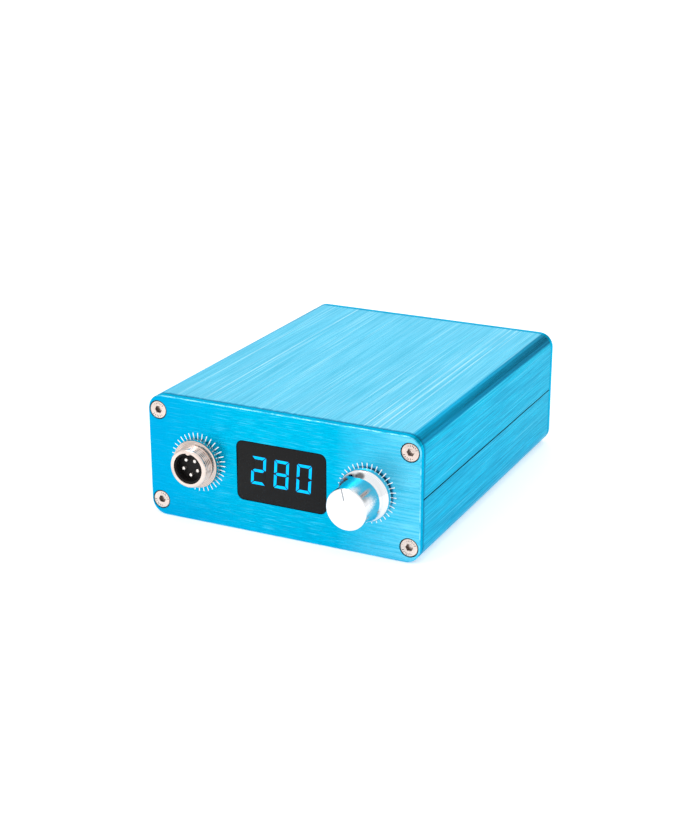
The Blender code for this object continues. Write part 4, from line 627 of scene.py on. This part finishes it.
SOCKET_SEGMENTS = 120
BORE_RADIUS = 0.00465
REAR_BORE_RADIUS = 0.0039
BORE_END = FRONT + 0.0003
FLANGE_THICKNESS = 0.0015
FLANGE_GAP = 0.00015
KEY_RADIUS = 0.0009
KEY_INSET = 0.0003

THREAD_DEPTH = 0.0004
THREAD_PITCH = 0.00078
THREAD_STEPS_PER_TURN = 8
THREAD_FADE_TURNS = 0.35

PIN_RADIUS = 0.00055
PIN_TIP_HEIGHT = 0.35 * PIN_RADIUS
CUP_LENGTH = 0.0032
CUP_DEPTH = 0.002
CUP_WALL = 0.0003
CUP_EDGE = 0.0001


def thread_height(phase):
    """Height of the thread from root to crest, 0 to 1, over one pitch, with a narrow crest and root."""
    return min(1.0, max(0.0, 1.6 * (1 - abs(2 * (phase % 1.0) - 1)) - 0.3))


def threaded_rings(shape, start, end):
    """Rings of the socket's helical thread from start to end along Y, fading out at both ends."""
    rings = []
    count = max(2, round((end - start) / (THREAD_PITCH / THREAD_STEPS_PER_TURN)))
    for step in range(count + 1):
        y = start + (end - start) * step / count
        fade = min(1.0, min(abs(y - start), abs(y - end)) / (THREAD_PITCH * THREAD_FADE_TURNS))
        ring = []
        for i, angle in enumerate(turn(SOCKET_SEGMENTS)):
            height = thread_height((y - start) / THREAD_PITCH + i / SOCKET_SEGMENTS)
            r = BARREL_RADIUS - THREAD_DEPTH * fade * (1 - height)
            ring.append(shape.verts.new((SOCKET_X + r * math.cos(angle), y, MID_Z + r * math.sin(angle))))
        rings.append(ring)
    return rings


def build_socket_body():
    """The threaded shell with its flange, and the key at the top of its bore."""
    low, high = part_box("socket_shell")
    rim, back = low.y, high.y
    flange = (high.x - low.x) / 2
    flange_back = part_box("socket_lock_washer")[0].y - FLANGE_GAP
    flange_front = flange_back - FLANGE_THICKNESS
    shape = bmesh.new()

    def rings(*profile):
        return [ring_points(shape, SOCKET_X, MID_Z, r, y, SOCKET_SEGMENTS) for r, y in profile]

    loop = rings((BORE_RADIUS, rim + 0.00025), (BORE_RADIUS + 0.0001, rim + 0.00006),
                 (BORE_RADIUS + 0.00025, rim), (BARREL_RADIUS - 0.00045, rim),
                 (BARREL_RADIUS - 0.0002, rim + 0.00012))
    loop += threaded_rings(shape, rim + 0.00035, flange_front - 0.0001)
    loop += rings((flange - 0.0004, flange_front), (flange - 0.00012, flange_front + 0.0001),
                  (flange, flange_front + 0.00035), (flange, flange_back - 0.0002),
                  (flange - 0.0001, flange_back), (BARREL_RADIUS, flange_back))
    loop += threaded_rings(shape, flange_back + 0.0003, back - 0.0003)
    loop += rings((BARREL_RADIUS - 0.0003, back), (REAR_BORE_RADIUS, back),
                  (REAR_BORE_RADIUS, BORE_END), (BORE_RADIUS, BORE_END))
    skin(shape, loop, joined=True)
    body = piece("socket_body", shape, THREADED, "case", ["socket_shell"], smooth=40)

    key = lathe([(KEY_RADIUS - 0.0001, rim + KEY_INSET), (KEY_RADIUS, rim + KEY_INSET + 0.0001),
                 (KEY_RADIUS, FRONT - KEY_INSET)], SOCKET_X, MID_Z + BORE_RADIUS + KEY_INSET, 32)
    boolean(body, mesh_object("tool", key), "UNION")
    shade(body, 40)


def build_pins():
    """The socket's pins, with a rounded tip in front and a solder cup behind."""
    for number in range(1, 6):
        name = f"socket_pin_{number}"
        low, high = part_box(name)
        x, _, z = middle(name)
        tip, end = low.y, high.y
        cup = (high.x - low.x) / 2
        profile = []
        for degrees in (20, 40, 60, 80, 90):
            angle = math.radians(degrees)
            profile.append((PIN_RADIUS * math.sin(angle), tip + PIN_TIP_HEIGHT * (1 - math.cos(angle))))
        profile += [(PIN_RADIUS, end - CUP_LENGTH), (cup - CUP_EDGE, end - CUP_LENGTH),
                    (cup, end - CUP_LENGTH + CUP_EDGE), (cup, end), (cup - CUP_WALL, end),
                    (cup - CUP_WALL, end - CUP_DEPTH)]
        piece(f"pin_{number}", lathe(profile, x, z, 28), BRASS, "case", [name], smooth=35)


# Knob

KNOB_RADIUS = 0.0062
FLARE_LENGTH = 0.0021
SKIRT_LENGTH = 0.00215
HOLLOW_RADIUS = 0.0063
HOLLOW_DEPTH = 0.0028
SHAFT_HOLE_RADIUS = 0.00315
FACE_THICKNESS = 0.0018
SET_SCREW_HOLE_RADIUS = 0.00165
SET_SCREW_HOLE_DEPTH = 0.0075

POINTER_ANGLE = math.radians(103)
POINTER_INNER = 0.0027
GROOVE_OUTER, GROOVE_HALF_WIDTH, GROOVE_DEPTH = 0.0072, 0.00022, 0.0004
PAINT_OUTER, PAINT_HALF_WIDTH, PAINT_DEPTH = 0.0061, 0.00021, 0.00012


def build_knob():
    """The turned knob with its flared skirt, pointer groove and set screw hole, and the groove's paint."""
    low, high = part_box("knob")
    face, back = low.y, high.y
    skirt = (high.x - low.x) / 2
    flare = skirt - 0.00035
    skirt_front = back - SKIRT_LENGTH
    flare_front = skirt_front - FLARE_LENGTH
    # The slightly hollow face and its rounded edge
    profile = [(0.0042, face + 0.00002), (KNOB_RADIUS - 0.00045, face),
               (KNOB_RADIUS - 0.0002, face + 0.00008), (KNOB_RADIUS - 0.00006, face + 0.00022),
               (KNOB_RADIUS, face + 0.00045)]
    # The flare and the skirt
    profile += [(KNOB_RADIUS, flare_front - 0.0002), (KNOB_RADIUS + 0.00008, flare_front),
                (flare - 0.00006, skirt_front - 0.00006), (flare + 0.00004, skirt_front),
                (skirt - 0.0001, back - 0.0019), (skirt, back - 0.0017), (skirt, back - 0.0002),
                (skirt - 0.0002, back)]
    # The hollow behind it and the shaft's hole
    profile += [(HOLLOW_RADIUS, back), (HOLLOW_RADIUS, back - HOLLOW_DEPTH),
                (SHAFT_HOLE_RADIUS, back - HOLLOW_DEPTH), (SHAFT_HOLE_RADIUS, face + FACE_THICKNESS)]
    turned = lathe(profile, KNOB_X, MID_Z, 144)
    knob = piece("knob_body", turned, POLISHED, "knob", ["knob"])

    groove = bmesh.new()
    slab(groove, radial_bar(KNOB_X, MID_Z, POINTER_ANGLE, POINTER_INNER, GROOVE_OUTER, GROOVE_HALF_WIDTH),
         face - 0.001, face + GROOVE_DEPTH)
    boolean(knob, mesh_object("tool", groove), "DIFFERENCE")

    hole_y = middle("knob_set_screw")[1]
    hole = bmesh.new()
    skin(hole, [[hole.verts.new((KNOB_X + SET_SCREW_HOLE_RADIUS * math.cos(angle),
                                 hole_y + SET_SCREW_HOLE_RADIUS * math.sin(angle), z)) for angle in turn(40)]
                for z in (MID_Z - SET_SCREW_HOLE_DEPTH, MID_Z)])
    boolean(knob, mesh_object("tool", hole), "DIFFERENCE")
    shade(knob, 30)

    paint = bmesh.new()
    slab(paint, radial_bar(KNOB_X, MID_Z, POINTER_ANGLE, POINTER_INNER, PAINT_OUTER, PAINT_HALF_WIDTH),
         face + PAINT_DEPTH, face + GROOVE_DEPTH + 0.00001)
    piece("knob_pointer", paint, POINTER_GREY, "knob")


# Screws

HEAD_FLAT = 0.0001
HEAD_EDGE = HEAD_FLAT + 0.00022
HEX_HALF_WIDTH = 0.001
SHANK_RADIUS = 0.00125

# Rings of a screw from its recess to its tip. First how far each stands out from the hexagon, then
# the radius of the round ones, each with its depth behind the face.
HEX_RINGS = ((0.0, 0.0013), (0.0, HEAD_FLAT + 0.00012), (0.00012, HEAD_FLAT))
ROUND_RINGS = ((0.0020, HEAD_FLAT - 0.00002), (0.00256, HEAD_FLAT), (0.0027, HEAD_FLAT + 0.00006),
               (0.00274, HEAD_EDGE), (SHANK_RADIUS, HEAD_EDGE + 0.00155), (SHANK_RADIUS, 0.0076),
               (SHANK_RADIUS - 0.0003, 0.0079))

# Where a head is dark, down to a depth: the walls of its recess, with dark oxide and painted shade, and its
# rim, with painted shade for the gap round it
RECESS_RADIUS = 0.00116
RIM_RADIUS = 0.0026
DARK_DEPTH = 0.0014

STROKES = 6
STROKE_STEP = 16
STROKE_INNER, STROKE_OUTER, STROKE_HALF_WIDTH = 0.0017, 0.00238, 0.00009
STROKE_PROUD, STROKE_SUNK = 0.00002, 0.0001
STROKE_UNEVEN = 0.00014


def screw_shape(face, inward, x, z):
    """A countersunk screw with a hex recess. inward is 1 or -1, the way it points along Y."""
    shape = bmesh.new()

    def hex_radius(angle):
        sector = math.radians(60)
        return HEX_HALF_WIDTH / math.cos((angle % sector) - sector / 2)

    def ring(radius_at, depth):
        return [shape.verts.new((x + radius_at(angle) * math.cos(angle), face + inward * depth,
                                 z + radius_at(angle) * math.sin(angle))) for angle in turn(60)]

    rings = [ring(lambda angle: hex_radius(angle) + out, depth) for out, depth in HEX_RINGS]
    rings += [ring(lambda angle: radius, depth) for radius, depth in ROUND_RINGS]
    skin(shape, rings)
    return shape


def stamp_screw(name, face, inward, x, z, number):
    """Two arcs of small plain strokes pressed round a screw's head."""
    shape = bmesh.new()
    for arc in (0, 180):
        for i in range(STROKES):
            angle = math.radians(190 + 17 * (number % 3) + arc + STROKE_STEP * i)
            inner, outer = STROKE_INNER + STROKE_UNEVEN * (i % 2), STROKE_OUTER - 0.00012 * (i % 3)
            bar = radial_bar(x, z, angle, inner, outer, STROKE_HALF_WIDTH, STROKE_UNEVEN * ((i % 3) - 1))
            slab(shape, bar, face - inward * STROKE_PROUD, face + inward * STROKE_SUNK)
    piece(name, shape, STAMPED, "case")


def build_screws():
    """All panel and inlet screws, with dark oxide and painted shade in the recess and painted shade at the
    rim of the head.
    """
    for name in sorted(nodes):
        if "_screw_" not in name:
            continue
        low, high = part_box(name)
        x, _, z = middle(name)
        face, inward = (low.y - HEAD_FLAT, 1) if name.startswith("front") else (high.y + HEAD_FLAT, -1)
        made = piece(name.replace("_screw_", "_bolt_"), screw_shape(face, inward, x, z), SCREW_METAL,
                     "case", [name], smooth=35)
        made.data.materials.append(SCREW_OXIDE_AND_SHADE.material)
        # Painted shade on the rim and, with dark oxide, on the recess walls
        for polygon in made.data.polygons:
            centre = polygon.center
            radius = math.hypot(centre.x - x, centre.z - z)
            recess_wall = radius < RECESS_RADIUS and abs(polygon.normal.y) < 0.5
            rim = radius > RIM_RADIUS
            if (recess_wall or rim) and abs(centre.y - face) < DARK_DEPTH:
                polygon.material_index = 1
        stamp_screw(name.replace("_screw_", "_stamp_"), face + inward * HEAD_FLAT, inward, x, z,
                    ord(name[-1]))


# Window and rocker marks

WINDOW_CORNER = 0.002
# How far the outline stands in, and how deep, at each ring of the rounded rim
WINDOW_RIM = ((0.00025, 0.0), (0.00006, 0.00006), (0.0, 0.00022))


def build_window():
    """The display's window, with a rounded rim."""
    low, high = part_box("display_window")
    x, _, z = middle("display_window")
    shape = bmesh.new()
    rings = []
    for inset, y in [(inset, low.y + depth) for inset, depth in WINDOW_RIM] + [(0.0, high.y)]:
        outline = round_rectangle(high.x - low.x - 2 * inset, high.z - low.z - 2 * inset,
                                  WINDOW_CORNER - inset, 12, x, z)
        rings.append([shape.verts.new((px, y, pz)) for px, pz in outline])
    skin(shape, rings)
    piece("window_pane", shape, WINDOW, "case", ["display_window"], smooth=50)


MARK_HEIGHT = 0.0044
MARK_LIFT = 0.00004
LINE_HALF_LENGTH, LINE_HALF_WIDTH = 0.0013, 0.0002
RING_OUTER, RING_INNER = 0.0013, 0.0009


def build_rocker_marks():
    """The generic line and ring on the rocker's two slopes, as thin white prints that follow its surface."""
    rocker = nodes["switch_rocker"]

    def print_mark(name, rows, joined):
        shape = bmesh.new()
        rings = []
        for outline, lift in rows:
            ring = []
            for x, z in outline:
                place = rocker.ray_cast(Vector((x, BACK + 0.02, z)), Vector((0, -1, 0)))[1]
                ring.append(shape.verts.new((x, place.y + lift, z)))
            rings.append(ring)
        skin(shape, rings, joined)
        piece(name, shape, PRINT, "switch_rocker")

    def circle(radius):
        return [(SWITCH_X + radius * math.cos(angle), MID_Z - MARK_HEIGHT + radius * math.sin(angle))
                for angle in turn(48)]

    line = [(SWITCH_X + sx * LINE_HALF_WIDTH, MID_Z + MARK_HEIGHT + sz * LINE_HALF_LENGTH)
            for sx, sz in ((-1, -1), (1, -1), (1, 1), (-1, 1))]
    inner, outer = circle(RING_INNER), circle(RING_OUTER)
    print_mark("rocker_mark_on", ((line, -MARK_LIFT), (line, MARK_LIFT)), joined=False)
    print_mark("rocker_mark_off", ((inner, -MARK_LIFT), (inner, MARK_LIFT),
                                   (outer, MARK_LIFT), (outer, -MARK_LIFT)), joined=True)


# Floor, light and camera

FLOOR_HALF_SIZE = 3.0
FLOOR_Z = -0.0002
FLOOR_GLOW = 0.4
SKY_STRENGTH = 1.16

# Four dark flags and one slightly brighter card in the sky: the way to each, the cosines at which it
# is full and ends, and its change of strength
CARDS = (((0.38, 0.82, 0.42), 0.97, 0.86, -0.72), ((-0.87, 0.39, 0.25), 0.96, 0.84, -0.8),
         ((-0.41, 0.85, 0.34), 0.98, 0.88, 0.06), ((-0.42, 0.02, 0.91), 0.985, 0.93, -0.95),
         ((-0.78, 0.21, 0.58), 0.985, 0.93, -0.7))
# They start between these heights of the sky, so the background stays plain near the horizon
CARDS_START = (0.10, 0.24)

KEY_PLACE = (-0.30, -0.55, 0.60)
KEY_AIM = (0, 0, 0.02)
KEY_SIZE = 0.35
KEY_POWER = 1.2

# The camera that was fitted to the photograph's outline
LENS = 68.78
SENSOR_WIDTH = 36
CAMERA_PLACE = (0.204668, -0.432704, 0.191851)
CAMERA_RIGHT = (0.900446, 0.434967, 0.000483)
CAMERA_UP = (-0.148486, 0.306345, 0.940268)
CAMERA_BACK = (0.408838, -0.846733, 0.340434)


def build_floor():
    mesh = bpy.data.meshes.new("floor")
    corners = [(sx * FLOOR_HALF_SIZE, sy * FLOOR_HALF_SIZE, FLOOR_Z)
               for sx, sy in ((-1, -1), (1, -1), (1, 1), (-1, 1))]
    mesh.from_pydata(corners, [], [(0, 1, 2, 3)])
    floor = bpy.data.objects.new("floor", mesh)
    scene.collection.objects.link(floor)
    surface = Surface("pale_floor", (0.9, 0.9, 0.9), 0.8)
    surface.set("Base Color", surface.mix(surface.noise(40), (0.88, 0.88, 0.88), (0.90, 0.90, 0.90)))
    surface.set("Emission Color", (1, 1, 1))
    surface.set("Emission Strength", FLOOR_GLOW)
    mesh.materials.append(surface.material)


def build_sky():
    """A plain white sky with a few soft flags in it for the metal to mirror."""
    scene.world = bpy.data.worlds.new("studio")
    scene.world.use_nodes = True
    sky = Graph(scene.world.node_tree)
    direction = sky.nodes.new("ShaderNodeTexCoord").outputs["Generated"]
    cards = 0.0
    for aim, inner, outer, change in CARDS:
        inputs = {0: direction, 1: Vector(aim).normalized()}
        cosine = sky.node("ShaderNodeVectorMath", inputs, operation="DOT_PRODUCT").outputs["Value"]
        cards = sky.add(sky.ramp(cosine, 0.0, change, outer, inner, "SMOOTHSTEP"), cards)
    above = sky.ramp(sky.split(direction)[2], 0.0, 1.0, *CARDS_START, "SMOOTHSTEP")
    background = sky.nodes["Background"]
    sky.feed(background.inputs["Color"], (1, 1, 1))
    sky.feed(background.inputs["Strength"], sky.add(sky.times(cards, above), SKY_STRENGTH))


def build_light():
    light = bpy.data.lights.new("key_light", "AREA")
    light.shape = "RECTANGLE"
    light.size = light.size_y = KEY_SIZE
    light.energy = KEY_POWER
    lamp = bpy.data.objects.new("key_light", light)
    lamp.location = KEY_PLACE
    lamp.rotation_euler = (Vector(KEY_AIM) - Vector(KEY_PLACE)).to_track_quat("-Z", "Y").to_euler()
    scene.collection.objects.link(lamp)


def build_camera():
    data = bpy.data.cameras.new("camera")
    data.lens = LENS
    data.sensor_width = SENSOR_WIDTH
    data.clip_start = 0.01
    camera = bpy.data.objects.new("camera", data)
    matrix = Matrix((CAMERA_RIGHT, CAMERA_UP, CAMERA_BACK)).transposed().to_4x4()
    matrix.translation = CAMERA_PLACE
    camera.matrix_world = matrix
    scene.collection.objects.link(camera)
    scene.camera = camera


scene.view_settings.view_transform = "Standard"
dress_frame()
build_ticks("socket_ticks", SOCKET_X)
build_ticks("knob_ticks", KNOB_X)
build_window()
build_digits()
build_socket_body()
build_pins()
build_knob()
build_screws()
build_rocker_marks()
build_floor()
build_sky()
build_light()
build_camera()
